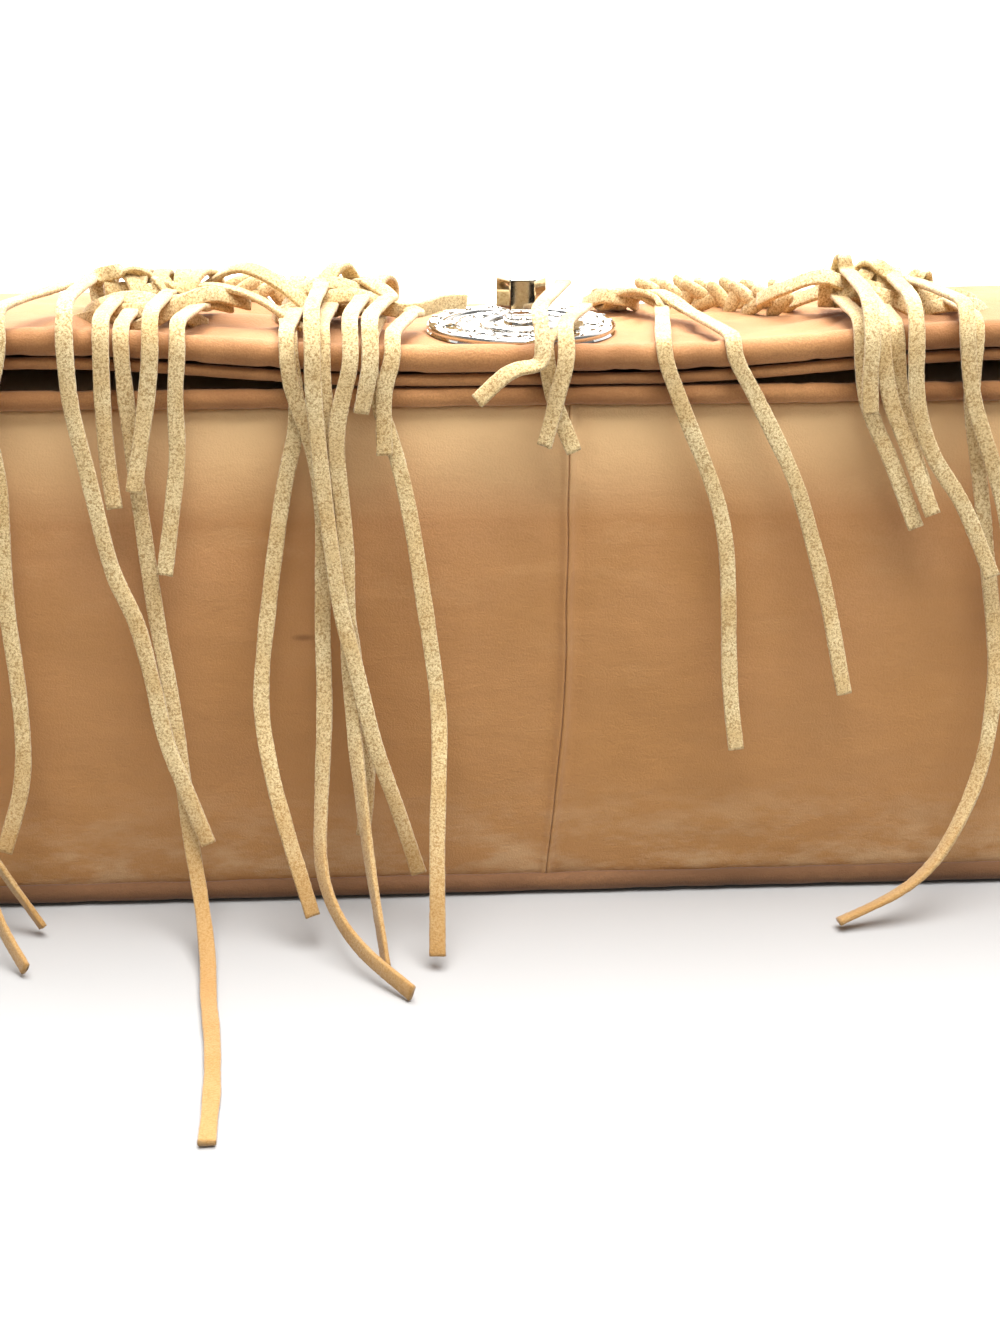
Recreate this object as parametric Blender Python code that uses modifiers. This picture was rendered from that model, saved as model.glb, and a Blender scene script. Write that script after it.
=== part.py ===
"""A fringed suede bag lying on its back, with a braided flap, a turn lock and long hanging laces.

Metres, +Z up. X runs across the bag, -Y is the base panel, and the back panel rests on z = 0.
"""

import math

import bmesh
import bpy
from mathutils import Matrix, Vector

MM = 0.001

# Driving dimensions, in metres
HALF_WIDTH = 0.170        # outside of a side wall from the middle
BASE_Y = -0.1176          # outside of the base panel
TOP_Y = 0.1224            # outside of the far wall
CORNER = 0.026            # plan radius of the bag's two front corners
LEATHER = 0.0018          # thickness of the leather panels
GAP = 0.0003              # clearance between touching pieces
PANEL_FRONT_Z = 0.1190    # middle of the front panel where it meets the base
PANEL_REAR_Z = 0.0300     # middle of the front panel's slope at the far wall
FLAT_END_Y = BASE_Y + 0.045   # the front is level up to here, then it slopes down
FLAP_LIFT = 0.0097        # flap above the front panel
FLAP_RISE = 0.0045        # how far the flap's edge lifts towards the sides
MOUTH_Y = 0.072           # far edge of the front panel, where the mouth starts
WELT_RADIUS = 0.0022
PIPING_RADIUS = 0.0013
BINDING_RADIUS = 0.0030
PLATE_RADIUS = 0.0215
LOCK_Y = BASE_Y + 0.023
LOCK_PLATE_Z = 0.1299     # underside of the plate
KNOB_TOP_Z = 0.1428
LACE_WIDTH = 0.0035
LACE_THICK = 0.0013
LAYER = 0.0018            # height of one lace lying on another
LACE_LIFT = 0.00105       # middle of the first lace above what it lies on
HINGE_Y = 0.1210
HINGE_Z = 0.0378

LEATHER_TAN = (0.52, 0.29, 0.14)
LEATHER_DARK = (0.36, 0.18, 0.08)
LINING_CLOTH = (0.25, 0.16, 0.10)
LACE_CREAM = (0.76, 0.60, 0.34)
STEEL = (0.75, 0.75, 0.76)
BOARD = (0.42, 0.36, 0.28)

# Each lace: where it leaves the flap (x, distance behind the base), the x where it turns over
# the edge, how many laces lie under it, then its hanging route (x, distance in front of the
# base, z), all in mm, and its turn about its own line at each end, in degrees.
LACES = {
    "lace_a1": ((-119, 16), -118, 0, [(-116, 6, 115), (-114.5, 7, 100), (-115, 8, 78), (-113.5, 9.5, 55), (-114, 11, 36),
                                      (-119, 13, 19)], (0, 0)),
    "lace_a2": ((-101, 24), -112, 2, [(-113.5, 9.5, 127), (-115.5, 9.5, 121), (-118.5, 10, 107)], (0, 20)),
    "lace_a3": ((-128, 14), -129, 0, [(-129, 6, 115), (-130, 8, 80), (-128, 14, 45), (-124, 20, 24), (-118.5, 28, 9),
                                      (-112, 37, 2)], (0, 60)),
    "lace_a4": ((-136, 14), -137, 0, [(-137, 6, 115), (-136, 7, 78), (-132, 9, 45), (-124, 12, 22), (-111, 17.5, 2)],
                (0, 60)),
    "lace_b1": ((-96, 19), -98, 3, [(-97.5, 11.3, 121), (-95, 11.5, 107), (-91, 12, 85), (-86.5, 13, 74), (-83.5, 14, 60),
                                    (-81, 15.5, 46), (-77, 17.5, 35), (-72.5, 20, 23)], (0, 10)),
    "lace_b2": ((-90, 19), -91, 1, [(-91.3, 7.7, 121), (-91, 8, 108), (-90, 9, 98)], (0, 0)),
    "lace_b3": ((-86.5, 17), -87, 0, [(-86.5, 6, 121), (-85, 6.5, 100), (-82.5, 7.5, 72), (-80.5, 9, 58), (-78.5, 12, 41),
                                      (-77, 16, 25), (-74.5, 23, 10.5), (-72.5, 36, 2.8), (-71.5, 50, 1.2),
                                      (-69.5, 68, 1), (-68.3, 87, 1), (-68, 105.5, 1)], (0, -3)),
    "lace_b4": ((-79, 17), -80.5, 2, [(-82, 9.5, 121), (-85.5, 10.5, 102)], (0, 0)),
    "lace_b5": ((-72, 15), -75, 1, [(-76, 7.7, 121), (-76, 8, 110), (-77.5, 8.5, 99), (-80, 9.5, 83)], (0, 0)),
    "lace_c1": ((-50, 27), -52, 1, [(-51.5, 7.7, 125), (-49.7, 7.7, 119), (-47, 7.7, 110), (-45.5, 7.7, 99),
                                    (-45.5, 7.7, 85), (-46, 8.2, 70), (-46, 12, 52), (-47, 16, 34), (-47.5, 23, 20),
                                    (-45, 30, 12), (-39, 39, 6), (-28, 52.5, 2)], (0, 70)),
    "lace_c2": ((-45, 20), -46.5, 4, [(-46.5, 13, 124), (-45, 13.3, 104), (-42, 14.5, 77.5), (-39, 15.8, 64),
                                      (-35, 17.5, 45.5), (-30.5, 19, 31.5), (-25.5, 21, 15)], (0, 10)),
    "lace_c3": ((-42, 27), -44.5, 2, [(-44.2, 9.5, 122), (-42.3, 9.5, 104), (-41.7, 9.5, 88), (-40.5, 9.2, 74), (-38, 8, 52),
                                    (-36.5, 9, 35), (-38, 11, 20)], (0, 35)),
    "lace_c4": ((-35.5, 21), -38.5, 3, [(-40.5, 11.3, 122), (-42, 11.3, 112), (-40.5, 11.5, 92), (-40.3, 12, 78),
                                        (-40.3, 12.3, 68), (-40.1, 13, 58), (-39, 17, 42), (-36.8, 25, 22),
                                        (-33.3, 41, 2.2)], (0, 70)),
    "lace_c5": ((-30.5, 17), -34.3, 3, [(-35, 11.3, 126), (-36.5, 11.3, 119)], (0, -25)),
    "lace_c6": ((-25, 18), -29.5, 1, [(-31.5, 7.7, 124), (-31.7, 8.5, 109)], (0, 0)),
    "lace_c7": ((-32.5, 20), -34.5, 0, [(-33.5, 6, 122), (-29.5, 7, 110), (-26.5, 8.5, 96.5), (-24, 11, 80), (-20.8, 15, 55),
                                    (-20.7, 20, 42), (-21.5, 27, 26), (-22, 38.5, 3.2)], (0, 10)),
    "lace_c8": ((-53, 18), -51.5, 0, [(-50.3, 6, 121), (-51, 6, 112), (-53.5, 6.5, 102), (-57.5, 8.5, 77),
                                      (-60, 12, 55), (-58.5, 16, 41), (-55.5, 20, 28), (-49.5, 27, 8)], (0, -10)),
    "lace_d1": ((20, 42), 2, 4, [(-4, 14, 129), (-12, 14.5, 122)], (0, 25)),
    "lace_d2": ((24, 36), 3.5, 0, [(4, 6, 125), (5.5, 6, 119), (9.5, 7.5, 109)], (0, 0)),
    "lace_d3": ((27.5, 30), 7.5, 2, [(6, 9.5, 124), (4.5, 9.5, 117), (2.8, 10, 111)], (0, 30)),
    "lace_e1": ((33.5, 32), 29, 0, [(31.3, 6, 123), (34.5, 6.2, 115), (39.5, 6.6, 103), (42.5, 7, 94), (44.3, 8, 82),
                                    (45.5, 10, 56), (47.3, 12, 40)], (0, 0)),
    "lace_e2": ((39.5, 24), 44, 0, [(48.5, 6, 121.5), (53.5, 7, 112), (58.8, 8, 101), (63, 8.5, 88), (67, 9.5, 74),
                                    (71.5, 12, 53)], (0, -8)),
    "lace_f1": ((74, 19), 72.5, 4, [(72.3, 13, 126), (73, 13, 118)], (0, 0)),
    "lace_f2": ((72, 17), 71.5, 1, [(72.8, 7.7, 121), (75.5, 8, 114), (79, 9, 107), (85.5, 10.5, 91.5)], (0, 0)),
    "lace_f3": ((77, 17), 75.5, 2, [(78, 9.5, 120), (81.5, 10, 112), (88.5, 12.5, 95)], (0, 10)),
    "lace_f4": ((81, 19), 79.5, 0, [(81, 6, 121), (84, 6.5, 110), (87.5, 7, 100)], (0, 0)),
    "lace_f5": ((84, 17), 82.5, 3, [(83.5, 11.3, 120), (87.8, 11.5, 108), (95.3, 12, 97), (103, 12.5, 80.5)], (0, 0)),
    "lace_g1": ((90.5, 20), 94, 2, [(96, 9.5, 121), (99.3, 9.5, 112), (105, 9.5, 97), (109, 10, 80)], (0, 10)),
    "lace_g2": ((97, 16), 97, 0, [(97, 6, 119), (99, 6.5, 107), (101, 6.5, 97), (104, 7, 79), (106.7, 8, 62),
                                  (106.7, 10, 50), (105, 12, 36), (100.7, 15, 24.5), (94, 19, 14.5),
                                  (85.5, 22, 8), (70.5, 25, 2)], (0, 75)),
}

# The soft lumps where a bundle of laces is knotted: x, distance behind the base, half sizes, in mm
KNOTS = {
    "knot_left": (-84, 27.5, 15, 5, 5),
    "knot_centre_left": (-42, 34.5, 13, 5, 5),
    "knot_lock": (25.5, 47, 6, 3, 3),
    "knot_right": (77.5, 27.5, 10, 5, 5),
    "knot_far_right": (93.5, 28, 4.5, 4.5, 3.5),
}


def smooth(value):
    """A soft step from 0 to 1."""
    value = min(1.0, max(0.0, value))
    return value * value * (3 - 2 * value)


def slope(y):
    """1 on the level part of the bag's front, falling to 0 at the far wall."""
    share = min(1.0, max(0.0, (y - FLAT_END_Y) / (TOP_Y - FLAT_END_Y)))
    return 0.5 + 0.5 * math.cos(math.pi * share)


def panel_z(y):
    """Middle of the front panel's thickness."""
    return PANEL_REAR_Z + (PANEL_FRONT_Z - PANEL_REAR_Z) * slope(y)


def lean(y):
    """How much further apart two sloping layers stand, straight up, than along their normal."""
    share = min(1.0, max(0.0, (y - FLAT_END_Y) / (TOP_Y - FLAT_END_Y)))
    fall = (PANEL_FRONT_Z - PANEL_REAR_Z) * math.pi / 2 / (TOP_Y - FLAT_END_Y) * math.sin(math.pi * share)
    return math.sqrt(1 + fall * fall)


def flap_rise(x, y):
    """The flap lies on the lock in the middle, and springs up a little to both sides."""
    fade = 1 - smooth((y - BASE_Y - 0.03) / 0.15)
    up = smooth((abs(x) - 0.026) / 0.080)
    down = smooth((abs(x) - 0.120) / 0.045)
    return FLAP_RISE * fade * (up - down)


def flap_z(x, y):
    """Middle of the flap leather's thickness."""
    return panel_z(y) + FLAP_LIFT * lean(y) + flap_rise(x, y)


def half_width_at(y, half_width, front, radius):
    """Half the plan width of a sheet with two rounded front corners."""
    into = front + radius - y
    if into <= 0:
        return half_width
    return half_width - radius + math.sqrt(max(0.0, radius * radius - into * into))


def plan_path(half_width, front, radius, back, arc_steps=6, side_steps=12):
    """Points (x, y) of the right half of the bag's outline, from the front corner to the back."""
    centre = Vector((half_width - radius, front + radius))
    points = []
    for step in range(arc_steps + 1):
        angle = math.radians(-90 + 90 * step / arc_steps)
        points.append(centre + radius * Vector((math.cos(angle), math.sin(angle))))
    for step in range(1, side_steps + 1):
        points.append(Vector((half_width, centre.y + (back - centre.y) * step / side_steps)))
    return points


def whole_path(half_width, front, radius, back, front_steps):
    """The outline from the left back, round the front, to the right back."""
    right = plan_path(half_width, front, radius, back)
    left = [Vector((-p.x, p.y)) for p in reversed(right)]
    start = left[-1].x
    middle = [Vector((start * (1 - 2 * i / front_steps), front)) for i in range(1, front_steps)]
    return left + middle + right


def clear_scene():
    for old in list(bpy.data.objects):
        bpy.data.objects.remove(old, do_unlink=True)


def new_collection(name):
    made = bpy.data.collections.new(name)
    bpy.context.scene.collection.children.link(made)
    return made


def material(name, colour, roughness, metallic=0.0):
    made = bpy.data.materials.new(name)
    made.use_nodes = True
    shader = made.node_tree.nodes["Principled BSDF"]
    shader.inputs["Base Color"].default_value = (*colour, 1)
    shader.inputs["Roughness"].default_value = roughness
    shader.inputs["Metallic"].default_value = metallic
    return made


def add_object(name, data, colour, roughness=0.8, metallic=0.0):
    made = bpy.data.objects.new(name, data)
    BAG.objects.link(made)
    data.materials.append(material(name, colour, roughness, metallic))
    return made


def mesh_from(name, builder):
    data = bpy.data.meshes.new(name)
    work = bmesh.new()
    builder(work)
    work.to_mesh(data)
    work.free()
    return data


def sheet(name, rows, thickness, colour):
    """A sheet through a grid of points, given as equal rows, with its thickness about them."""
    across = len(rows[0]) - 1
    along = len(rows) - 1

    def build(work):
        made = bmesh.ops.create_grid(work, x_segments=across, y_segments=along, size=1.0)
        for vert in made["verts"]:
            column = round((vert.co.x + 1) / 2 * across)
            row = round((vert.co.y + 1) / 2 * along)
            vert.co = rows[row][column]

    made = add_object(name, mesh_from(name, build), colour)
    shell = made.modifiers.new("thickness", "SOLIDIFY")
    shell.thickness = thickness
    shell.offset = 0
    shell.use_even_offset = False
    return made


def tube(name, points, radius, colour, sides=2, cyclic=False):
    data = bpy.data.curves.new(name, "CURVE")
    data.dimensions = "3D"
    data.bevel_depth = radius
    data.bevel_resolution = sides
    data.use_fill_caps = not cyclic
    line = data.splines.new("POLY")
    line.points.add(len(points) - 1)
    line.use_cyclic_u = cyclic
    for spot, point in zip(line.points, points):
        spot.co = (*point, 1)
    return add_object(name, data, colour)


def cylinder(work, radius, low, high, x=0.0, y=0.0, sides=32, top=None):
    made = bmesh.ops.create_cone(
        work, cap_ends=True, segments=sides, radius1=radius, radius2=radius if top is None else top, depth=high - low
    )
    bmesh.ops.translate(work, verts=made["verts"], vec=(x, y, (low + high) / 2))
    return made["verts"]


def cutter(name, radius, low, high, x, y, sides=32):
    data = mesh_from(name, lambda work: cylinder(work, radius, low, high, x, y, sides))
    made = bpy.data.objects.new(name, data)
    CUTTERS.objects.link(made)
    made.hide_render = True
    made.display_type = "WIRE"
    return made


def cut(target, *cutters):
    for tool in cutters:
        hole = target.modifiers.new(tool.name, "BOOLEAN")
        hole.operation = "DIFFERENCE"
        hole.object = tool


def box_mesh(name, low, high, bevel=0.0):
    low, high = Vector(low), Vector(high)

    def build(work):
        made = bmesh.ops.create_cube(work, size=1.0)
        for vert in made["verts"]:
            vert.co = Vector((low[i] + (vert.co[i] + 0.5) * (high[i] - low[i]) for i in range(3)))
        if bevel:
            bmesh.ops.bevel(work, geom=work.edges[:], offset=bevel, segments=2, affect="EDGES")

    return mesh_from(name, build)


def spaced(low, high, count):
    return [low + (high - low) * i / count for i in range(count + 1)]


def make_flat_sheet(name, half_width, front, radius, back, height, thickness, colour):
    """A panel seen in plan, with rounded front corners, at height(x, y)."""
    arc = [front + radius * (1 - math.cos(math.radians(15 * i))) for i in range(6)]
    rows_y = arc + spaced(front + radius, back, 12)
    rows = []
    for y in rows_y:
        half = half_width_at(y, half_width, front, radius)
        rows.append([Vector((half * u, y, height(half * u, y))) for u in spaced(-1, 1, 16)])
    return sheet(name, rows, thickness, colour)


def seam_x(z):
    """The base's centre seam leans towards the middle near the back panel."""
    return 9 * MM - 5 * MM * smooth((60 * MM - z) / (80 * MM))


def make_gusset(name, side):
    """One side wall and its half of the base: a strip that turns the front corner."""
    middle = LEATHER / 2
    path = plan_path(HALF_WIDTH - middle, BASE_Y + middle, CORNER, TOP_Y - LEATHER - 2 * GAP)
    low = 2 * WELT_RADIUS + 2 * GAP
    flat_run = 9
    rows = []
    for level in spaced(0, 1, 6):
        row = []
        for step in range(flat_run + len(path)):
            if step < flat_run:
                z = low + level * (panel_z(BASE_Y) - WELT_RADIUS - LEATHER / 4 - GAP - low)
                start = side * seam_x(z) + GAP / 2
                x = start + (path[0].x - start) * step / flat_run
                y = path[0].y
            else:
                x, y = path[step - flat_run]
                z = low + level * (panel_z(y) - WELT_RADIUS - LEATHER / 4 - GAP - low)
            row.append(Vector((side * x, y, z)))
        rows.append(row if side > 0 else row[::-1])
    return sheet(name, rows, LEATHER, LEATHER_TAN)


def make_shell():
    inner = LEATHER + GAP
    panel = make_flat_sheet(
        "front_panel", HALF_WIDTH - inner, BASE_Y + inner, CORNER - inner, MOUTH_Y,
        lambda x, y: panel_z(y), LEATHER, LEATHER_TAN)
    cut(panel, cutter("spindle_hole", 0.0052, 0.10, 0.13, 0, LOCK_Y))
    make_flat_sheet(
        "back_panel", HALF_WIDTH - inner, BASE_Y + inner, CORNER - inner, TOP_Y - GAP,
        lambda x, y: LEATHER / 2, LEATHER, LEATHER_TAN)
    make_gusset("gusset_left", -1)
    make_gusset("gusset_right", 1)
    add_object("top_panel", box_mesh(
        "top_panel", (-HALF_WIDTH, TOP_Y - LEATHER, LEATHER + GAP), (HALF_WIDTH, TOP_Y, HINGE_Z - 0.0013), 0.0004),
        LEATHER_TAN)


def make_welts():
    back = TOP_Y - LEATHER - 2 * GAP
    outline = whole_path(HALF_WIDTH + 0.0013, BASE_Y - 0.0013, CORNER + 0.0013, back - 0.004, 16)
    tube("welt_front", [Vector((p.x, p.y, panel_z(p.y) + 0.0011)) for p in outline], WELT_RADIUS, LEATHER_TAN)
    tube("welt_back", [Vector((p.x, p.y, WELT_RADIUS + GAP)) for p in outline], WELT_RADIUS, LEATHER_DARK)


def make_lining():
    """A cloth sack inside the leather, open at the mouth."""
    clear = LEATHER + 2 * GAP
    half = HALF_WIDTH - 0.012
    front = BASE_Y + 0.0075
    ceiling = spaced(MOUTH_Y, front, 10)
    under = LEATHER / 2 + 0.0012
    profile = [(y, panel_z(y) - under * lean(y)) for y in ceiling]
    profile += [(front, clear + 0.0050), (front + 0.0030, clear + 0.0006), (TOP_Y - 0.006, clear + 0.0006)]
    profile += [(TOP_Y - 0.0028, clear + 0.003), (TOP_Y - 0.0028, panel_z(TOP_Y) - 0.004)]

    def build(work):
        loop = [work.verts.new((-half, y, z)) for y, z in profile]
        face = work.faces.new(loop)
        made = bmesh.ops.extrude_face_region(work, geom=[face])
        moved = [v for v in made["geom"] if isinstance(v, bmesh.types.BMVert)]
        bmesh.ops.translate(work, verts=moved, vec=(2 * half, 0, 0))
        bmesh.ops.recalc_face_normals(work, faces=work.faces[:])
        mouth = {profile[0], profile[-1]}
        for wall in list(work.faces):
            if {(round(v.co.y, 6), round(v.co.z, 6)) for v in wall.verts} == {
                (round(y, 6), round(z, 6)) for y, z in mouth
            }:
                work.faces.remove(wall)

    made = add_object("lining", mesh_from("lining", build), LINING_CLOTH)
    shell = made.modifiers.new("thickness", "SOLIDIFY")
    shell.thickness = 0.0006
    shell.offset = -1
    add_object("base_board", box_mesh(
        "base_board", (-0.135, BASE_Y + LEATHER + GAP, 0.014), (0.135, BASE_Y + LEATHER + GAP + 0.0012, 0.108), 0.0002),
        BOARD)


def lock_hole(name, radius, sides=32):
    return cutter(name, radius, 0.115, 0.14, 0, LOCK_Y, sides)


def rivet_places():
    return [(-0.0165, LOCK_Y), (0.0165, LOCK_Y)]


def make_flap():
    """The leather flap, its lining, the fat rolled binding and the thin piping under it."""
    edge = 2 * BINDING_RADIUS + 0.0002
    front = BASE_Y - 0.0048 + edge + GAP
    half = HALF_WIDTH + 0.0044 - edge
    back = HINGE_Y - 0.0012
    holes = [cutter("rivet_hole_%d" % i, 0.0016, 0.115, 0.14, x, y, 12) for i, (x, y) in enumerate(rivet_places())]
    panel = make_flat_sheet("flap_panel", half, front, CORNER, back, flap_z, LEATHER, LEATHER_TAN)
    cut(panel, lock_hole("flap_hole", 0.0078), *holes)
    drop = LEATHER / 2 + 0.0008 + GAP
    lining = make_flat_sheet(
        "flap_lining", half, front, CORNER, back, lambda x, y: flap_z(x, y) - drop * lean(y), 0.0010, LINING_CLOTH)
    cut(lining, lock_hole("flap_lining_hole", 0.0078), *holes)
    outline = whole_path(
        HALF_WIDTH + 0.0014, BASE_Y - 0.0018, CORNER + 0.0018, back - 0.004, 26)
    tube("flap_binding", [Vector((p.x, p.y, flap_z(p.x, p.y) - 0.0001)) for p in outline],
         BINDING_RADIUS, LEATHER_TAN)
    lower = BINDING_RADIUS + PIPING_RADIUS + GAP + 0.0002
    tube("flap_piping", [Vector((p.x, p.y, flap_z(p.x, p.y) - lower * lean(p.y))) for p in outline], PIPING_RADIUS, LEATHER_DARK)


def make_lock():
    """The plate and its backing on the flap, and the knob in its base on the front panel."""
    def plate(work):
        cylinder(work, PLATE_RADIUS, LOCK_PLATE_Z, LOCK_PLATE_Z + 0.0012, 0, LOCK_Y, 48, PLATE_RADIUS - 0.0008)

    holes = [cutter("plate_rivet_hole_%d" % i, 0.0015, 0.115, 0.14, x, y, 12) for i, (x, y) in enumerate(rivet_places())]
    made = add_object("lock_plate", mesh_from("lock_plate", plate), STEEL, 0.2, 1.0)
    cut(made, lock_hole("hex_hole", 0.0070, 6), *holes)
    low = LOCK_PLATE_Z - LEATHER - 0.0010 - 3 * GAP - 0.0002
    backing = add_object("plate_backing", mesh_from(
        "plate_backing", lambda work: cylinder(work, 0.0195, low - 0.0010, low, 0, LOCK_Y, 36)), STEEL, 0.4, 1.0)
    cut(backing, lock_hole("backing_hole", 0.0078), *holes)
    for number, (x, y) in enumerate(rivet_places(), 1):
        name = "plate_rivet_%d" % number
        add_object(name, mesh_from(
            name, lambda work: cylinder(work, 0.0012, low - 0.0014, LOCK_PLATE_Z + 0.0014, x, y, 12)), STEEL, 0.2, 1.0)
    base_low = panel_z(LOCK_Y) + LEATHER / 2 + GAP
    stem_hole = lock_hole("stem_hole", 0.0044)
    base = add_object("lock_base", mesh_from(
        "lock_base", lambda work: cylinder(work, 0.0130, base_low, base_low + 0.0018, 0, LOCK_Y, 32, 0.0122)),
        STEEL, 0.3, 1.0)
    cut(base, stem_hole)
    under = panel_z(LOCK_Y) - LEATHER / 2 - GAP
    retainer = add_object("lock_retainer", mesh_from(
        "lock_retainer", lambda work: cylinder(work, 0.0095, under - 0.0007, under, 0, LOCK_Y, 28)), STEEL, 0.4, 1.0)
    cut(retainer, cutter("retainer_hole", 0.0044, 0.10, 0.13, 0, LOCK_Y))
    make_knob(base_low)


def make_knob(base_low):
    """A hexagonal head over a round neck, turned as one piece."""
    neck = 0.0040
    head_low = LOCK_PLATE_Z + 0.0030
    head = 0.00575

    def build(work):
        cylinder(work, neck, panel_z(LOCK_Y) - 0.0019, head_low + 0.001, 0, LOCK_Y, 24)

    def build_head(work):
        cylinder(work, head - 0.0012, head_low, head_low + 0.0012, 0, LOCK_Y, 6, head)
        for low, high, low_radius, top in (
            (head_low + 0.0012, KNOB_TOP_Z - 0.0012, head, head),
            (KNOB_TOP_Z - 0.0012, KNOB_TOP_Z, head, head - 0.0014),
        ):
            cylinder(work, low_radius, low, high, 0, LOCK_Y, 6, top)
        bmesh.ops.remove_doubles(work, verts=work.verts[:], dist=0.00001)
        inside = [f for f in work.faces if len(f.verts) == 6 and head_low < f.calc_center_median().z < KNOB_TOP_Z - 0.0001]
        inside = [f for f in inside if f.calc_center_median().z > head_low + 0.0001]
        bmesh.ops.delete(work, geom=inside, context="FACES_ONLY")

    made = add_object("lock_knob", mesh_from("lock_knob", build), STEEL, 0.1, 1.0)
    head_data = mesh_from("knob_head", build_head)
    head_tool = bpy.data.objects.new("knob_head", head_data)
    CUTTERS.objects.link(head_tool)
    head_tool.hide_render = True
    head_tool.display_type = "WIRE"
    joined = made.modifiers.new("head", "BOOLEAN")
    joined.operation = "UNION"
    joined.object = head_tool


def make_strap_anchor(side):
    """A leather tab on the side wall, with an eye that a D-ring hangs in."""
    word = "left" if side < 0 else "right"
    y = 0.085
    eye_z = 0.0250
    wall = HALF_WIDTH + GAP
    eye_x = wall + 0.0050
    name = "strap_tab_" + word

    place = Matrix.Translation((side * eye_x, y, eye_z)) @ Matrix.Rotation(math.radians(90), 4, "X")
    eye_data = mesh_from(name + "_eye", lambda work: cylinder(work, 0.0042, -0.009, 0.009, sides=20))
    hole_data = mesh_from(name + "_hole", lambda work: cylinder(work, 0.0024, -0.012, 0.012, sides=16))
    eye_data.transform(place)
    hole_data.transform(place)
    eye = bpy.data.objects.new(name + "_eye", eye_data)
    hole = bpy.data.objects.new(name + "_hole", hole_data)
    for tool in (eye, hole):
        CUTTERS.objects.link(tool)
        tool.hide_render = True
        tool.display_type = "WIRE"
    low_x, high_x = sorted((side * wall, side * (wall + 0.0020)))
    tab = add_object(name, box_mesh(name, (low_x, y - 0.009, 0.0060), (high_x, y + 0.009, eye_z + 0.002), 0.0003), LEATHER_TAN)
    joined = tab.modifiers.new("eye", "BOOLEAN")
    joined.operation = "UNION"
    joined.object = eye
    cut(tab, hole)
    half, wire = 0.0125, 0.0016
    loop = [Vector((side * eye_x, y + half * math.cos(a), eye_z - 0.004 - half * 0.95 * math.sin(a)))
            for a in (math.pi * i / 10 for i in range(11))]
    corners = [Vector((side * eye_x, y - half, eye_z - 0.0004)), Vector((side * eye_x, y - half + 0.0006, eye_z))]
    ends = [Vector((side * eye_x, y + half - 0.0006, eye_z)), Vector((side * eye_x, y + half, eye_z - 0.0004))]
    tube("ring_" + word, ends[1:] + loop + corners[:1] + corners[1:] + ends[:1], wire, STEEL, 2, True)


def edge_turn(x, layer):
    """Points over the flap's rolled edge, from its top to its front, as a lace lies on it."""
    centre_y = BASE_Y - 0.0018
    centre_z = flap_z(x, centre_y)
    radius = BINDING_RADIUS + LACE_LIFT + LAYER * layer
    turned = []
    for angle in (80, 52, 24, 0):
        turned.append(Vector((
            x, centre_y - radius * math.cos(math.radians(angle)), centre_z + radius * math.sin(math.radians(angle)))))
    return turned


def lace_route(start, over, layer, hang):
    """The lace's own points: out of the flap, over the edge, and down in front of the base."""
    x, back = start
    y = BASE_Y + back * MM
    top = flap_z(x * MM, BASE_Y) + BINDING_RADIUS + LACE_LIFT + LAYER * layer
    route = [Vector((x * MM, y, top))]
    route += edge_turn(over * MM, layer)
    route += [Vector((px * MM, BASE_Y - out * MM, pz * MM)) for px, out, pz in hang]
    return route


def smooth_line(route, turn_length, fine_step, coarse_step):
    """Points along a smooth curve through the route, closer together over the flap's edge."""
    ends = [route[0] * 2 - route[1], *route, route[-1] * 2 - route[-2]]
    fine = []
    for a, b, c, d in zip(ends, ends[1:], ends[2:], ends[3:]):
        for i in range(12):
            t = i / 12
            fine.append(0.5 * (2 * b + (c - a) * t + (2 * a - 5 * b + 4 * c - d) * t * t
                               + (3 * b - a - 3 * c + d) * t * t * t))
    fine.append(route[-1])
    lengths = [0.0]
    for a, b in zip(fine, fine[1:]):
        lengths.append(lengths[-1] + (b - a).length)
    turn = min(turn_length, lengths[-1] / 2)
    wanted = spaced(0, turn, round(turn / fine_step))[:-1]
    wanted += spaced(turn, lengths[-1], max(2, round((lengths[-1] - turn) / coarse_step)))
    points = []
    at = 0
    for want in wanted:
        while at < len(fine) - 2 and lengths[at + 1] < want:
            at += 1
        share = (want - lengths[at]) / max(1e-9, lengths[at + 1] - lengths[at])
        points.append(fine[at].lerp(fine[at + 1], share))
    return points


def lace_rows(points, twists):
    """Left and right edges of the flat lace at each point: level across, then turned by its twist."""
    rows = []
    last = len(points) - 1
    reach = [0.0]
    for a, b in zip(points, points[1:]):
        reach.append(reach[-1] + (b - a).length)
    for i, point in enumerate(points):
        along = (points[min(i + 1, last)] - points[max(i - 1, 0)]).normalized()
        side = (Vector((1, 0, 0)) - along * along.x).normalized()
        turn = twists[0] + (twists[1] - twists[0]) * smooth((reach[i] / reach[-1] - 0.5) / 0.45)
        angle = math.radians(turn)
        across = (side * math.cos(angle) + along.cross(side) * math.sin(angle)) * (LACE_WIDTH / 2)
        rows.append([point - across, point + across])
    return rows


def make_laces():
    for name, (start, over, layer, hang, twists) in LACES.items():
        turn_length = start[1] * MM + 3 * BINDING_RADIUS + LAYER * layer
        points = smooth_line(lace_route(start, over, layer, hang), turn_length, 0.8 * LACE_WIDTH, 2.2 * LACE_WIDTH)
        sheet(name, lace_rows(points, twists), LACE_THICK, LACE_CREAM)


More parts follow.
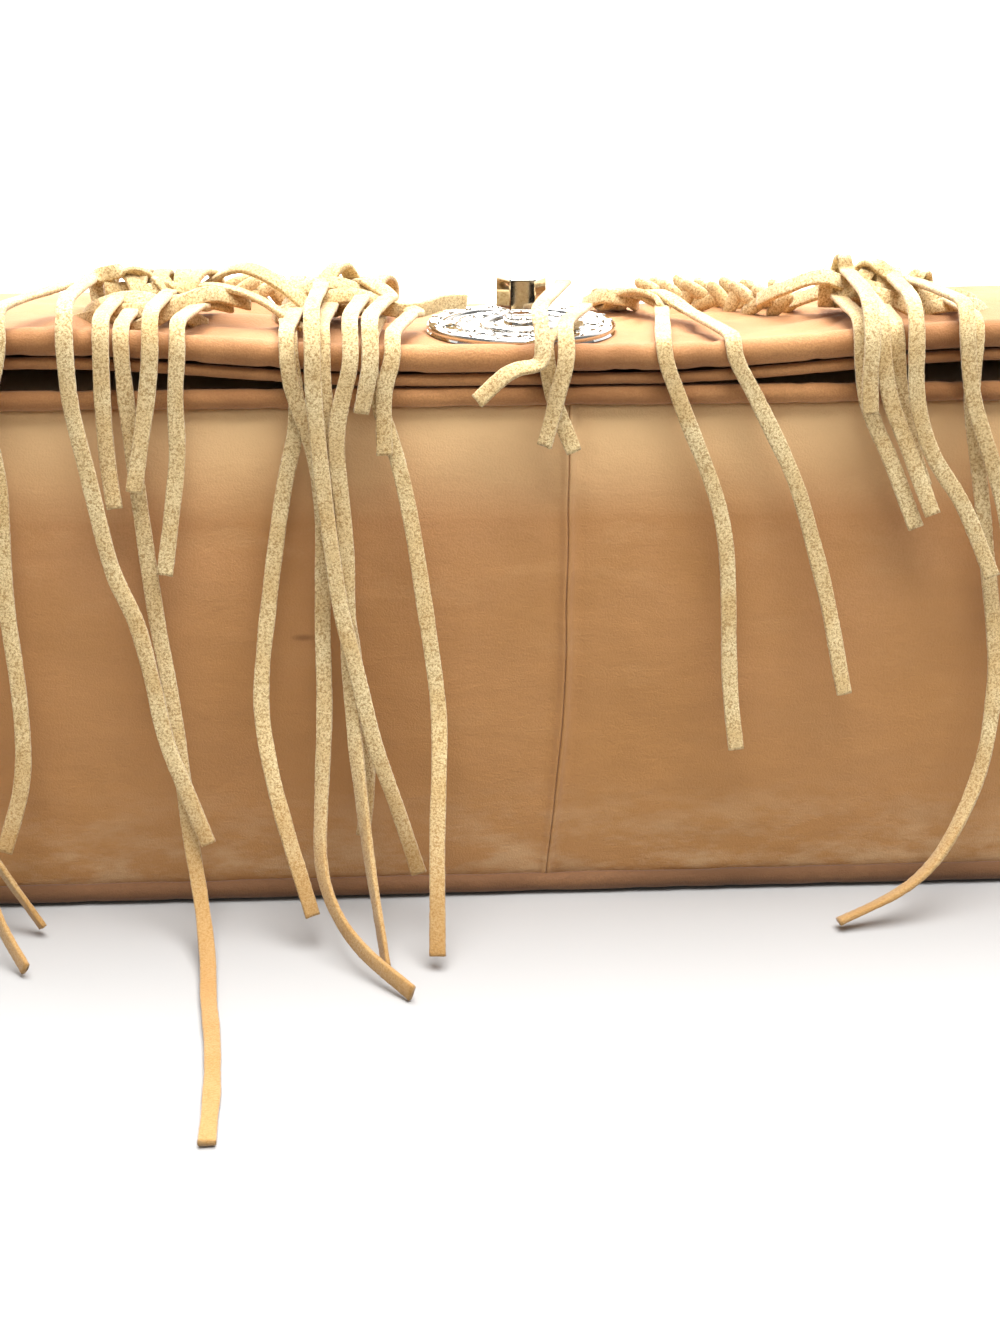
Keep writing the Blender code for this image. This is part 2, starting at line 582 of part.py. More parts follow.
def make_knots():
    """A rounded lump, from a coarse cage."""
    for name, (x, back, half_x, half_y, half_z) in KNOTS.items():
        centre_y = BASE_Y + back * MM
        low = max(flap_z(x * MM + s * half_x * MM, centre_y) for s in (-1, 0, 1)) + LEATHER / 2 + GAP
        data = box_mesh(
            name, (x * MM - half_x * MM, centre_y - half_y * MM, low),
            (x * MM + half_x * MM, centre_y + half_y * MM, low + 2 * half_z * MM), 0.0022)
        add_object(name, data, LACE_CREAM)


def make_braid(name, start, end):
    """A plaited bar on the flap, from beside the lock towards a bundle of laces."""
    start = Vector((start[0] * MM, BASE_Y + start[1] * MM))
    end = Vector((end[0] * MM, BASE_Y + end[1] * MM))
    across = (end - start).orthogonal().normalized() * 0.0045
    rows = []
    for share in spaced(0, 1, 12):
        middle = start.lerp(end, share)
        lift = max(flap_z(middle.x + s * across.x, middle.y + s * across.y) for s in (-1, 0, 1))
        z = lift + LEATHER / 2 + GAP + 0.0022
        pair = [Vector((middle.x + s * across.x, middle.y + s * across.y, z)) for s in (-1, 0, 1)]
        rows.append(pair)
    sheet(name, rows, 0.0038, LACE_CREAM)


clear_scene()
BAG = new_collection("fringed_suede_bag")
CUTTERS = new_collection("cutters")
make_shell()
make_welts()
make_lining()
make_flap()
make_lock()
make_strap_anchor(-1)
make_strap_anchor(1)
make_knots()
make_braid("braid_left", (-34, 62), (-64, 52))
make_braid("braid_right", (35, 57), (62, 33))
make_laces()
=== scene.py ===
"""Looks of a fringed suede bag that lies on its back: leather, laces, knots, plaits, lock and stage."""

import math
import random

import bmesh
import bpy
import numpy as np
from mathutils import Matrix, Vector, noise


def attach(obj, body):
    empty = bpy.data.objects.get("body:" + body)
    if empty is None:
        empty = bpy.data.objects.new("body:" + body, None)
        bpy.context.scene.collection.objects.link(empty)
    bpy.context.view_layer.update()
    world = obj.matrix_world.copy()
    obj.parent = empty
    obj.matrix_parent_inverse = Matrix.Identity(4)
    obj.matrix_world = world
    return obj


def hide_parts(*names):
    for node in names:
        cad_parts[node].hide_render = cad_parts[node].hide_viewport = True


bl_info = {
    "name": "Fringed suede bag",
    "version": (1, 0, 0),
    "blender": (4, 5, 0),
    "location": "View3D > Sidebar > Bag",
    "description": "Builds the leather, laces, lock and stage of a fringed bag on its CAD frame",
    "category": "Object",
}

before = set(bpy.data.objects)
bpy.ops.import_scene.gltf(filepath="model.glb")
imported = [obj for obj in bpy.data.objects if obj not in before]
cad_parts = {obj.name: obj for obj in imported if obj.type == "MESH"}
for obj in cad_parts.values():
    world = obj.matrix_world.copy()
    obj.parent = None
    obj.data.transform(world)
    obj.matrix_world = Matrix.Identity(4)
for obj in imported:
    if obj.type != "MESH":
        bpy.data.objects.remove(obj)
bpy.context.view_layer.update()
MM = 0.001

# The CAD's driving sizes, in metres, which the soft pieces follow
HALF_WIDTH = 0.170
BASE_Y = -0.1176
TOP_Y = 0.1224
CORNER = 0.026
LEATHER = 0.0018
GAP = 0.0003
PANEL_FRONT_Z = 0.1190
PANEL_REAR_Z = 0.0300
FLAT_END_Y = BASE_Y + 0.045
FLAP_LIFT = 0.0097
FLAP_RISE = 0.0045
MOUTH_Y = 0.072
WELT_RADIUS = 0.0022
PIPING_RADIUS = 0.0013
BINDING_RADIUS = 0.0030
LOCK_Y = BASE_Y + 0.023
PLATE_TOP_Z = 0.1311
KNOB_TOP_Z = 0.1428
LACE_WIDTH = 0.0035
LACE_THICK = 0.0013
LAYER = 0.0018
LACE_LIFT = 0.00105
HINGE_Y = 0.1210
HINGE_Z = 0.0378

LACE_STEP = 0.0007        # between a lace's stations
LACE_SIDES = 14           # points round a lace
NAP = 0.00010             # how far the suede's fibres stand out
NAP_SIZE = 0.0007
MARK_PLACE = (-0.0505, BASE_Y, 0.0655)
MARK_STRETCH = (0.5, 0.0, 1.6)
TUCK = 0.0016             # how far a side wall tucks under each welt
THREAD = 0.00045          # one thread of the lining's weave
CAMERA_LENS = 55.54
CAMERA_PLACE = (-0.0348, -0.5589, 0.2204)
CAMERA_TURNS = (3.74, 20.31, 0.22)    # yaw, pitch down and roll, in degrees

# Each lace: where it leaves the flap (x, distance behind the base), the x where it turns over
# the edge, how many laces lie under it, then its hanging route (x, distance in front of the
# base, z), all in mm, and its turn about its own line at each end, in degrees.
LACES = {
    "lace_a1": ((-119, 16), -118, 0, [(-116, 6, 115), (-114.5, 7, 100), (-115, 8, 78),
        (-113.5, 9.5, 55), (-114, 11, 36), (-119, 13, 19)], (0, 0)),
    "lace_a2": ((-101, 24), -112, 2, [(-113.5, 9.5, 127), (-115.5, 9.5, 121),
        (-118.5, 10, 107)], (0, 20)),
    "lace_a3": ((-128, 14), -129, 0, [(-129, 6, 115), (-130, 8, 80), (-128, 14, 45), (-124, 20, 24),
        (-118.5, 28, 9), (-112, 37, 2)], (0, 60)),
    "lace_a4": ((-136, 14), -137, 0, [(-137, 6, 115), (-136, 7, 78), (-132, 9, 45), (-124, 12, 22),
        (-111, 17.5, 2)], (0, 60)),
    "lace_b1": ((-96, 19), -98, 3, [(-97.5, 11.3, 121), (-95, 11.5, 107), (-91, 12, 85),
        (-86.5, 13, 74), (-83.5, 14, 60), (-81, 15.5, 46), (-77, 17.5, 35),
        (-72.5, 20, 23)], (0, 10)),
    "lace_b2": ((-90, 19), -91, 1, [(-91.3, 7.7, 121), (-91, 8, 108), (-90, 9, 98)], (0, 0)),
    "lace_b3": ((-86.5, 17), -87, 0, [(-86.5, 6, 121), (-85, 6.5, 100), (-82.5, 7.5, 72),
        (-80.5, 9, 58), (-78.5, 12, 41), (-77, 16, 25), (-74.5, 23, 10.5), (-72.5, 36, 2.8),
        (-71.5, 50, 1.2), (-69.5, 68, 1), (-68.3, 87, 1), (-68, 105.5, 1)], (0, -3)),
    "lace_b4": ((-79, 17), -80.5, 2, [(-82, 9.5, 121), (-85.5, 10.5, 102)], (0, 0)),
    "lace_b5": ((-72, 15), -75, 1, [(-76, 7.7, 121), (-76, 8, 110), (-77.5, 8.5, 99),
        (-80, 9.5, 83)], (0, 0)),
    "lace_c1": ((-50, 27), -52, 1, [(-51.5, 7.7, 125), (-49.7, 7.7, 119), (-47, 7.7, 110),
        (-45.5, 7.7, 99), (-45.5, 7.7, 85), (-46, 8.2, 70), (-46, 12, 52), (-47, 16, 34),
        (-47.5, 23, 20), (-45, 30, 12), (-39, 39, 6), (-28, 52.5, 2)], (0, 70)),
    "lace_c2": ((-45, 20), -46.5, 4, [(-46.5, 13, 124), (-45, 13.3, 104), (-42, 14.5, 77.5),
        (-39, 15.8, 64), (-35, 17.5, 45.5), (-30.5, 19, 31.5), (-25.5, 21, 15)], (0, 10)),
    "lace_c3": ((-42, 27), -44.5, 2, [(-44.2, 9.5, 122), (-42.3, 9.5, 104), (-41.7, 9.5, 88),
        (-40.5, 9.2, 74), (-38, 8, 52), (-36.5, 9, 35), (-38, 11, 20)], (0, 35)),
    "lace_c4": ((-35.5, 21), -38.5, 3, [(-40.5, 11.3, 122), (-42, 11.3, 112), (-40.5, 11.5, 92),
        (-40.3, 12, 78), (-40.3, 12.3, 68), (-40.1, 13, 58), (-39, 17, 42), (-36.8, 25, 22),
        (-33.3, 41, 2.2)], (0, 70)),
    "lace_c5": ((-30.5, 17), -34.3, 3, [(-35, 11.3, 126), (-36.5, 11.3, 119)], (0, -25)),
    "lace_c6": ((-25, 18), -29.5, 1, [(-31.5, 7.7, 124), (-31.7, 8.5, 109)], (0, 0)),
    "lace_c7": ((-32.5, 20), -34.5, 0, [(-33.5, 6, 122), (-29.5, 7, 110), (-26.5, 8.5, 96.5),
        (-24, 11, 80), (-20.8, 15, 55), (-20.7, 20, 42), (-21.5, 27, 26),
        (-22, 38.5, 3.2)], (0, 10)),
    "lace_c8": ((-53, 18), -51.5, 0, [(-50.3, 6, 121), (-51, 6, 112), (-53.5, 6.5, 102),
        (-57.5, 8.5, 77), (-60, 12, 55), (-58.5, 16, 41), (-55.5, 20, 28),
        (-49.5, 27, 8)], (0, -10)),
    "lace_d1": ((20, 42), 2, 4, [(-4, 14, 129), (-12, 14.5, 122)], (0, 25)),
    "lace_d2": ((24, 36), 3.5, 0, [(4, 6, 125), (5.5, 6, 119), (9.5, 7.5, 109)], (0, 0)),
    "lace_d3": ((27.5, 30), 7.5, 2, [(6, 9.5, 124), (4.5, 9.5, 117), (2.8, 10, 111)], (0, 30)),
    "lace_e1": ((33.5, 32), 29, 0, [(31.3, 6, 123), (34.5, 6.2, 115), (39.5, 6.6, 103),
        (42.5, 7, 94), (44.3, 8, 82), (45.5, 10, 56), (47.3, 12, 40)], (0, 0)),
    "lace_e2": ((39.5, 24), 44, 0, [(48.5, 6, 121.5), (53.5, 7, 112), (58.8, 8, 101), (63, 8.5, 88),
        (67, 9.5, 74), (71.5, 12, 53)], (0, -8)),
    "lace_f1": ((74, 19), 72.5, 4, [(72.3, 13, 126), (73, 13, 118)], (0, 0)),
    "lace_f2": ((72, 17), 71.5, 1, [(72.8, 7.7, 121), (75.5, 8, 114), (79, 9, 107),
        (85.5, 10.5, 91.5)], (0, 0)),
    "lace_f3": ((77, 17), 75.5, 2, [(78, 9.5, 120), (81.5, 10, 112), (88.5, 12.5, 95)], (0, 10)),
    "lace_f4": ((81, 19), 79.5, 0, [(81, 6, 121), (84, 6.5, 110), (87.5, 7, 100)], (0, 0)),
    "lace_f5": ((84, 17), 82.5, 3, [(83.5, 11.3, 120), (87.8, 11.5, 108), (95.3, 12, 97),
        (103, 12.5, 80.5)], (0, 0)),
    "lace_g1": ((90.5, 20), 94, 2, [(96, 9.5, 121), (99.3, 9.5, 112), (105, 9.5, 97),
        (109, 10, 80)], (0, 10)),
    "lace_g2": ((97, 16), 97, 0, [(97, 6, 119), (99, 6.5, 107), (101, 6.5, 97), (104, 7, 79),
        (106.7, 8, 62), (106.7, 10, 50), (105, 12, 36), (100.7, 15, 24.5), (94, 19, 14.5),
        (85.5, 22, 8), (70.5, 25, 2)], (0, 75)),
}

# Knotted lumps: x, distance behind the base, half sizes, and the laces that come out of each, in mm
KNOTS = {
    "knot_left": (-84, 27.5, 15, 5, 5, "b"),
    "knot_centre_left": (-42, 34.5, 13, 5, 5, "c"),
    "knot_lock": (25.5, 47, 6, 3, 3, "e"),
    "knot_right": (77.5, 27.5, 10, 5, 5, "f"),
    "knot_far_right": (93.5, 28, 4.5, 4.5, 3.5, "g"),
}

# Where the lock's laces come into sight: x and distance behind the base, in mm
NEAR_STARTS = {"lace_d1": (10, 27), "lace_d2": (12, 16), "lace_d3": (14, 17)}

# Loose arcs of lace that stand up from each knot: points (x, distance behind the base, z), in mm
ARCS = {
    "knot_left": [
        [(-77, 33, 134), (-72, 30, 139), (-62.8, 25, 144), (-54, 21, 141), (-47, 20, 135),
        (-44, 24, 131.5)],
        [(-88, 27, 135), (-80, 24, 138.5), (-70, 22, 140.5), (-60, 19, 138.5), (-52, 16, 134),
        (-49, 15, 132)],
        [(-99, 24, 132), (-96, 20, 136), (-88, 18, 138.6), (-80, 17, 137.5), (-74, 18, 134),
        (-71, 22, 131.5)],
        [(-105, 25, 131), (-98, 19, 133.5), (-91, 15, 136), (-82, 13.5, 137), (-73, 16, 138.5),
        (-65, 22, 136)],
        [(-92, 16, 134.5), (-86, 11, 133), (-78, 12, 137), (-70, 17, 139.5), (-61, 22, 136.5)],
    ],
    "knot_centre_left": [
        [(-54, 34, 133), (-50, 27, 138), (-43, 24, 140.5), (-36, 26, 138), (-31, 31, 133)],
        [(-41, 24, 137), (-35, 21, 137), (-29, 21.5, 135), (-23, 25, 134.2), (-17, 31, 134.8),
        (-12, 36, 134)],
        [(-56, 30, 132), (-50, 22, 135.5), (-44, 19, 138), (-37, 18.5, 138.6), (-31, 21, 136)],
    ],
    "knot_lock": [
        [(33.5, 31, 132.9), (32.5, 35, 134.6), (28, 39, 135.4), (23, 44, 133), (20, 48, 130.8)],
        [(30, 50, 130.5), (27, 42, 133), (21, 42, 134), (17, 48, 131)],
    ],
    "knot_right": [
        [(56, 32, 134.5), (60, 26, 138), (67.5, 21, 141.6), (74, 22, 139.5), (78, 27, 135)],
        [(64, 32, 134), (70, 24, 138), (78, 20, 139.5), (85, 22, 136.5), (88, 28, 132)],
        [(68, 26, 137), (75, 19, 138.5), (82, 15, 138), (88, 15, 135), (92, 19, 132)],
    ],
    "knot_far_right": [
        [(88, 30, 132.5), (92, 23, 136.5), (98, 20, 137.5), (104, 22, 135.5), (107, 28, 132)],
        [(90, 20, 133.5), (96, 16, 136), (103, 17, 135.5), (108, 23, 132)],
    ],
}

# Where the flap's leather is pulled into puckers: x and distance behind the base, in metres
PULLS = ((-0.084, 0.027), (-0.042, 0.034), (0.030, 0.040), (0.0775, 0.027))

# The plaited bars' ends: x and distance behind the base, in mm
BRAIDS = {"braid_left": ((-34, 62), (-64, 52)), "braid_right": ((35, 57), (62, 33))}


def smooth(value):
    """A soft step from 0 to 1."""
    value = min(1.0, max(0.0, value))
    return value * value * (3 - 2 * value)


def slope(y):
    """1 on the level part of the bag's front, falling to 0 at the far wall."""
    share = min(1.0, max(0.0, (y - FLAT_END_Y) / (TOP_Y - FLAT_END_Y)))
    return 0.5 + 0.5 * math.cos(math.pi * share)


def panel_z(y):
    """Middle of the front panel's thickness."""
    return PANEL_REAR_Z + (PANEL_FRONT_Z - PANEL_REAR_Z) * slope(y)


def lean(y):
    """How much further apart two sloping layers stand, straight up, than along their normal."""
    share = min(1.0, max(0.0, (y - FLAT_END_Y) / (TOP_Y - FLAT_END_Y)))
    fall = (PANEL_FRONT_Z - PANEL_REAR_Z) * math.pi / 2 / (TOP_Y - FLAT_END_Y) * math.sin(math.pi * share)
    return math.sqrt(1 + fall * fall)


def flap_rise(x, y):
    """The flap lies on the lock in the middle, and springs up a little to both sides."""
    fade = 1 - smooth((y - BASE_Y - 0.03) / 0.15)
    up = smooth((abs(x) - 0.026) / 0.080)
    down = smooth((abs(x) - 0.120) / 0.045)
    return FLAP_RISE * fade * (up - down)


def flap_z(x, y):
    """Middle of the flap leather's thickness."""
    return panel_z(y) + FLAP_LIFT * lean(y) + flap_rise(x, y)


def half_width_at(y, half_width, front, radius):
    """Half the plan width of a sheet with two rounded front corners."""
    into = front + radius - y
    if into <= 0:
        return half_width
    return half_width - radius + math.sqrt(max(0.0, radius * radius - into * into))


def plan_path(half_width, front, radius, back, arc_steps=6, side_steps=12):
    """Points (x, y) of the right half of the bag's outline, from the front corner to the back."""
    centre = Vector((half_width - radius, front + radius))
    points = []
    for step in range(arc_steps + 1):
        angle = math.radians(-90 + 90 * step / arc_steps)
        points.append(centre + radius * Vector((math.cos(angle), math.sin(angle))))
    for step in range(1, side_steps + 1):
        points.append(Vector((half_width, centre.y + (back - centre.y) * step / side_steps)))
    return points


def whole_path(half_width, front, radius, back, front_steps):
    """The outline from the left back, round the front, to the right back."""
    right = plan_path(half_width, front, radius, back)
    left = [Vector((-p.x, p.y)) for p in reversed(right)]
    start = left[-1].x
    middle = [Vector((start * (1 - 2 * i / front_steps), front)) for i in range(1, front_steps)]
    return left + middle + right


def spaced(low, high, count):
    return [low + (high - low) * i / count for i in range(count + 1)]


def seam_x(z):
    """The base's centre seam leans towards the middle near the back panel."""
    return 9 * MM - 5 * MM * smooth((60 * MM - z) / (80 * MM))


def edge_turn(x, layer):
    """Points over the flap's rolled edge, from its top to its front, as a lace lies on it."""
    centre_y = BASE_Y - 0.0018
    centre_z = flap_z(x, centre_y)
    radius = BINDING_RADIUS + LACE_LIFT + LAYER * layer
    turned = []
    for angle in (80, 52, 24, 0):
        a = math.radians(angle)
        turned.append(Vector((x, centre_y - radius * math.cos(a), centre_z + radius * math.sin(a))))
    return turned


def lace_route(start, over, layer, hang):
    """The lace's own points: out of the flap, over the edge, and down in front of the base."""
    x, back = start
    y = BASE_Y + back * MM
    top = flap_z(x * MM, BASE_Y) + BINDING_RADIUS + LACE_LIFT + LAYER * layer
    route = [Vector((x * MM, y, top))]
    route += edge_turn(over * MM, layer)
    route += [Vector((px * MM, BASE_Y - out * MM, pz * MM)) for px, out, pz in hang]
    return route


def smooth_line(route, turn_length, fine_step, coarse_step):
    """Points along a smooth curve through the route, closer together over the flap's edge."""
    ends = [route[0] * 2 - route[1], *route, route[-1] * 2 - route[-2]]
    fine = []
    for a, b, c, d in zip(ends, ends[1:], ends[2:], ends[3:]):
        for i in range(12):
            t = i / 12
            fine.append(0.5 * (2 * b + (c - a) * t + (2 * a - 5 * b + 4 * c - d) * t * t
                               + (3 * b - a - 3 * c + d) * t * t * t))
    fine.append(route[-1])
    lengths = [0.0]
    for a, b in zip(fine, fine[1:]):
        lengths.append(lengths[-1] + (b - a).length)
    turn = min(turn_length, lengths[-1] / 2)
    wanted = spaced(0, turn, round(turn / fine_step))[:-1]
    wanted += spaced(turn, lengths[-1], max(2, round((lengths[-1] - turn) / coarse_step)))
    points = []
    at = 0
    for want in wanted:
        while at < len(fine) - 2 and lengths[at + 1] < want:
            at += 1
        share = (want - lengths[at]) / max(1e-9, lengths[at + 1] - lengths[at])
        points.append(fine[at].lerp(fine[at + 1], share))
    return points


def linked(name, data):
    """A new object at the origin, linked to the scene."""
    made = bpy.data.objects.new(name, data)
    bpy.context.scene.collection.objects.link(made)
    return made


def sheet_points(path_rows):
    """Rows of points as one array of rows, columns and x, y, z."""
    return np.array([[tuple(p) for p in row] for row in path_rows], float)


def mesh_object(name, points, faces, finish, smooth_faces=True):
    """A piece at the origin from points and faces, facing out."""
    data = bpy.data.meshes.new(name)
    data.from_pydata([tuple(p) for p in points], [], faces)
    work = bmesh.new()
    work.from_mesh(data)
    bmesh.ops.recalc_face_normals(work, faces=work.faces[:])
    work.to_mesh(data)
    work.free()
    data.polygons.foreach_set("use_smooth", [smooth_faces] * len(data.polygons))
    data.materials.append(finish)
    return linked(name, data)


def shell_faces(rows, columns, base=0):
    """Faces of a closed sheet: both sides and the rim, for points given as top then bottom."""
    size = rows * columns
    faces = []
    for r in range(rows - 1):
        for c in range(columns - 1):
            a = base + r * columns + c
            faces.append((a, a + 1, a + columns + 1, a + columns))
            faces.append((a + size, a + size + columns, a + size + columns + 1, a + size + 1))
    rim = [c for c in range(columns)]
    rim += [r * columns + columns - 1 for r in range(1, rows)]
    rim += [(rows - 1) * columns + c for c in range(columns - 2, -1, -1)]
    rim += [r * columns for r in range(rows - 2, 0, -1)]
    for a, b in zip(rim, rim[1:] + rim[:1]):
        faces.append((base + a, base + b, base + b + size, base + a + size))
    return faces


def thick_sheet(name, grid, thickness, finish):
    """A closed leather sheet with its thickness about a grid of points."""
    down = np.gradient(grid, axis=0)
    across = np.gradient(grid, axis=1)
    normal = np.cross(across, down)
    normal /= np.maximum(np.linalg.norm(normal, axis=2, keepdims=True), 1e-12)
    half = normal * thickness / 2
    points = np.concatenate([(grid + half).reshape(-1, 3), (grid - half).reshape(-1, 3)])
    return mesh_object(name, points, shell_faces(*grid.shape[:2]), finish)


def soft_noise(x, y, z, size, seed=0.0):
    """Smooth noise of about -1 to 1 whose features are size metres wide."""
    return noise.noise(Vector((x / size + seed, y / size - seed, z / size + 0.37 * seed)))


def lengths_along(points):
    reach = [0.0]
    for a, b in zip(points, points[1:]):
        reach.append(reach[-1] + (b - a).length)
    return reach


def curve_through(route, step):
    """Evenly spaced points along a smooth curve through the route."""
    return smooth_line(route, step, step, step)


def across_of(points, twists):
    """The flat lace's sideways direction at each point: level across, then turned by its twist."""
    last = len(points) - 1
    reach = lengths_along(points)
    sides = []
    for i in range(last + 1):
        along = (points[min(i + 1, last)] - points[max(i - 1, 0)]).normalized()
        side = (Vector((1, 0, 0)) - along * along.x).normalized()
        turn = twists[0] + (twists[1] - twists[0]) * smooth((reach[i] / reach[-1] - 0.5) / 0.45)
        angle = math.radians(turn)
        sides.append(side * math.cos(angle) + along.cross(side) * math.sin(angle))
    return sides


def arc_across(points):
    """The flat lace's sideways direction on a standing arc: square to the plane it bends in."""
    last = len(points) - 1
    runs = [(points[min(i + 1, last)] - points[max(i - 1, 0)]).normalized() for i in range(last + 1)]
    bend = Vector((0, 0, 0))
    for a, b in zip(runs, runs[1:]):
        bend += a.cross(b)
    bend = bend.normalized() if bend.length > 1e-6 else Vector((0, 1, 0))
    return [(bend - run * bend.dot(run)).normalized() for run in runs]


def lace_section():
    """The lace's cut outline, across and through, as shares of its half width and half thickness."""
    outline = []
    for step in range(LACE_SIDES):
        angle = 2 * math.pi * (step + 0.5) / LACE_SIDES
        across, through = math.cos(angle), math.sin(angle)
        outline.append((math.copysign(abs(across) ** 0.30, across),
                        math.copysign(abs(through) ** 0.55, through)))
    return outline


def add_ribbon(points, sides, mesh_points, mesh_faces, seed, ragged, width=LACE_WIDTH, thick=LACE_THICK):
    """One cut lace, with an uneven width, a napped surface and cut ends, added to a mesh's lists."""
    base = len(mesh_points)
    last = len(points) - 1
    outline = lace_section()
    for i, (point, side) in enumerate(zip(points, sides)):
        along = (points[min(i + 1, last)] - points[max(i - 1, 0)]).normalized()
        face = along.cross(side).normalized()
        wide = width / 2 * (1 + 0.09 * soft_noise(*point, 0.009, seed))
        deep = thick / 2 * (1 + 0.16 * soft_noise(*point, 0.006, seed + 5))
        cup = 0.00022 * soft_noise(*point, 0.014, seed + 9)
        for across, through in outline:
            spot = point + side * (across * wide) + face * (through * deep + cup * (across * across - 0.5))
            fuzz = NAP * soft_noise(*spot, NAP_SIZE, seed)
            spot = spot + (side * across + face * through).normalized() * fuzz
            if i in (0, last):
                spot += along * (ragged * soft_noise(*spot, 0.0008, seed + 2)) * (1 if i else -1)
            mesh_points.append(tuple(spot))
    for i in range(last):
        for j in range(LACE_SIDES):
            a = base + i * LACE_SIDES + j
            b = base + i * LACE_SIDES + (j + 1) % LACE_SIDES
            mesh_faces.append((a, b, b + LACE_SIDES, a + LACE_SIDES))
    mesh_faces.append(tuple(base + j for j in reversed(range(LACE_SIDES))))
    mesh_faces.append(tuple(base + last * LACE_SIDES + j for j in range(LACE_SIDES)))


def roll(name, points, radius, finish, seed, sides=20, crease=0.10):
    """A rolled leather edge: a tube whose skin puckers and creases where it turns."""
    last = len(points) - 1
    mesh_points, faces = [], []
    for i, point in enumerate(points):
        along = (points[min(i + 1, last)] - points[max(i - 1, 0)]).normalized()
        side = (along.cross(Vector((0, 0, 1)))).normalized()
        up = side.cross(along)
        for j in range(sides):
            angle = 2 * math.pi * j / sides
            out = side * math.cos(angle) + up * math.sin(angle)
            spot = point + out * radius
            pucker = 1 - abs(soft_noise(spot.x, spot.y * 0.8, spot.z * 0.5, 0.013, seed))
            swell = soft_noise(*spot, 0.030, seed + 3)
            dent = crease * max(0.0, pucker - 0.84) * 8
            size = radius * (1 + 0.05 * swell - dent + 0.012 * soft_noise(*spot, 0.004, seed))
            mesh_points.append(tuple(point + out * size))
    for i in range(last):
        for j in range(sides):
            a, b = i * sides + j, i * sides + (j + 1) % sides
            faces.append((a, b, b + sides, a + sides))
    faces.append(tuple(reversed(range(sides))))
    faces.append(tuple(last * sides + j for j in range(sides)))
    return mesh_object(name, mesh_points, faces, finish)


def linear(colour):
    """An sRGB hex colour as linear RGBA."""
    parts = [int(colour[i:i + 2], 16) / 255 for i in (1, 3, 5)]
    return (*[c / 12.92 if c <= 0.04045 else ((c + 0.055) / 1.055) ** 2.4 for c in parts], 1)


def add_node(tree, kind, inputs=None, **settings):
    """Adds a node. An input is a value, or another node's output socket."""
    made = tree.nodes.new(kind)
    for key, value in settings.items():
        setattr(made, key, value)
    for key, value in (inputs or {}).items():
        if isinstance(value, bpy.types.NodeSocket):
            tree.links.new(value, made.inputs[key])
        else:
            made.inputs[key].default_value = value
    return made


def new_material(name, **shader_values):
    """A material, its tree, its shader and the object coordinates."""
    made = bpy.data.materials.new(name)
    made.use_nodes = True
    tree = made.node_tree
    shader = tree.nodes["Principled BSDF"]
    for key, value in shader_values.items():
        shader.inputs[key.replace("_", " ")].default_value = value
    place = add_node(tree, "ShaderNodeTexCoord").outputs["Object"]
    return made, tree, shader, place


def vector_sum(tree, operation, *values, output=0):
    made = add_node(tree, "ShaderNodeVectorMath", dict(enumerate(values)), operation=operation)
    return made.outputs[output]


def number_sum(tree, operation, *values):
    return add_node(tree, "ShaderNodeMath", dict(enumerate(values)), operation=operation).outputs[0]


def noise_at(tree, place, size, detail=3.0, rough=0.55, stretch=(1, 1, 1)):
    """Noise whose features are size metres wide."""
    moved = add_node(tree, "ShaderNodeMapping", {"Vector": place, "Scale": stretch}).outputs["Vector"]
    return add_node(tree, "ShaderNodeTexNoise", {
        "Vector": moved, "Scale": 1 / size, "Detail": detail, "Roughness": rough}).outputs["Fac"]


def ranged(tree, value, low, high, to_low=0.0, to_high=1.0):
    return add_node(tree, "ShaderNodeMapRange", {
        "Value": value, "From Min": low, "From Max": high,
        "To Min": to_low, "To Max": to_high}).outputs["Result"]


def mixed(tree, share, first, second, blend="MIX"):
    """A colour between first and second, each a hex colour or a socket."""
    made = add_node(tree, "ShaderNodeMix", data_type="RGBA", blend_type=blend)
    for socket, value in ((made.inputs[0], share), (made.inputs[6], first), (made.inputs[7], second)):
        if isinstance(value, bpy.types.NodeSocket):
            tree.links.new(value, socket)
        else:
            socket.default_value = linear(value) if isinstance(value, str) else value
    return made.outputs[2]


def bumped(tree, shader, layers):
    """Stacks bumps of (height socket, strength, distance) onto the shader."""
    normal = None
    for height, strength, distance in layers:
        inputs = {"Height": height, "Strength": strength, "Distance": distance}
        if normal:
            inputs["Normal"] = normal
        normal = add_node(tree, "ShaderNodeBump", inputs).outputs["Normal"]
    tree.links.new(normal, shader.inputs["Normal"])


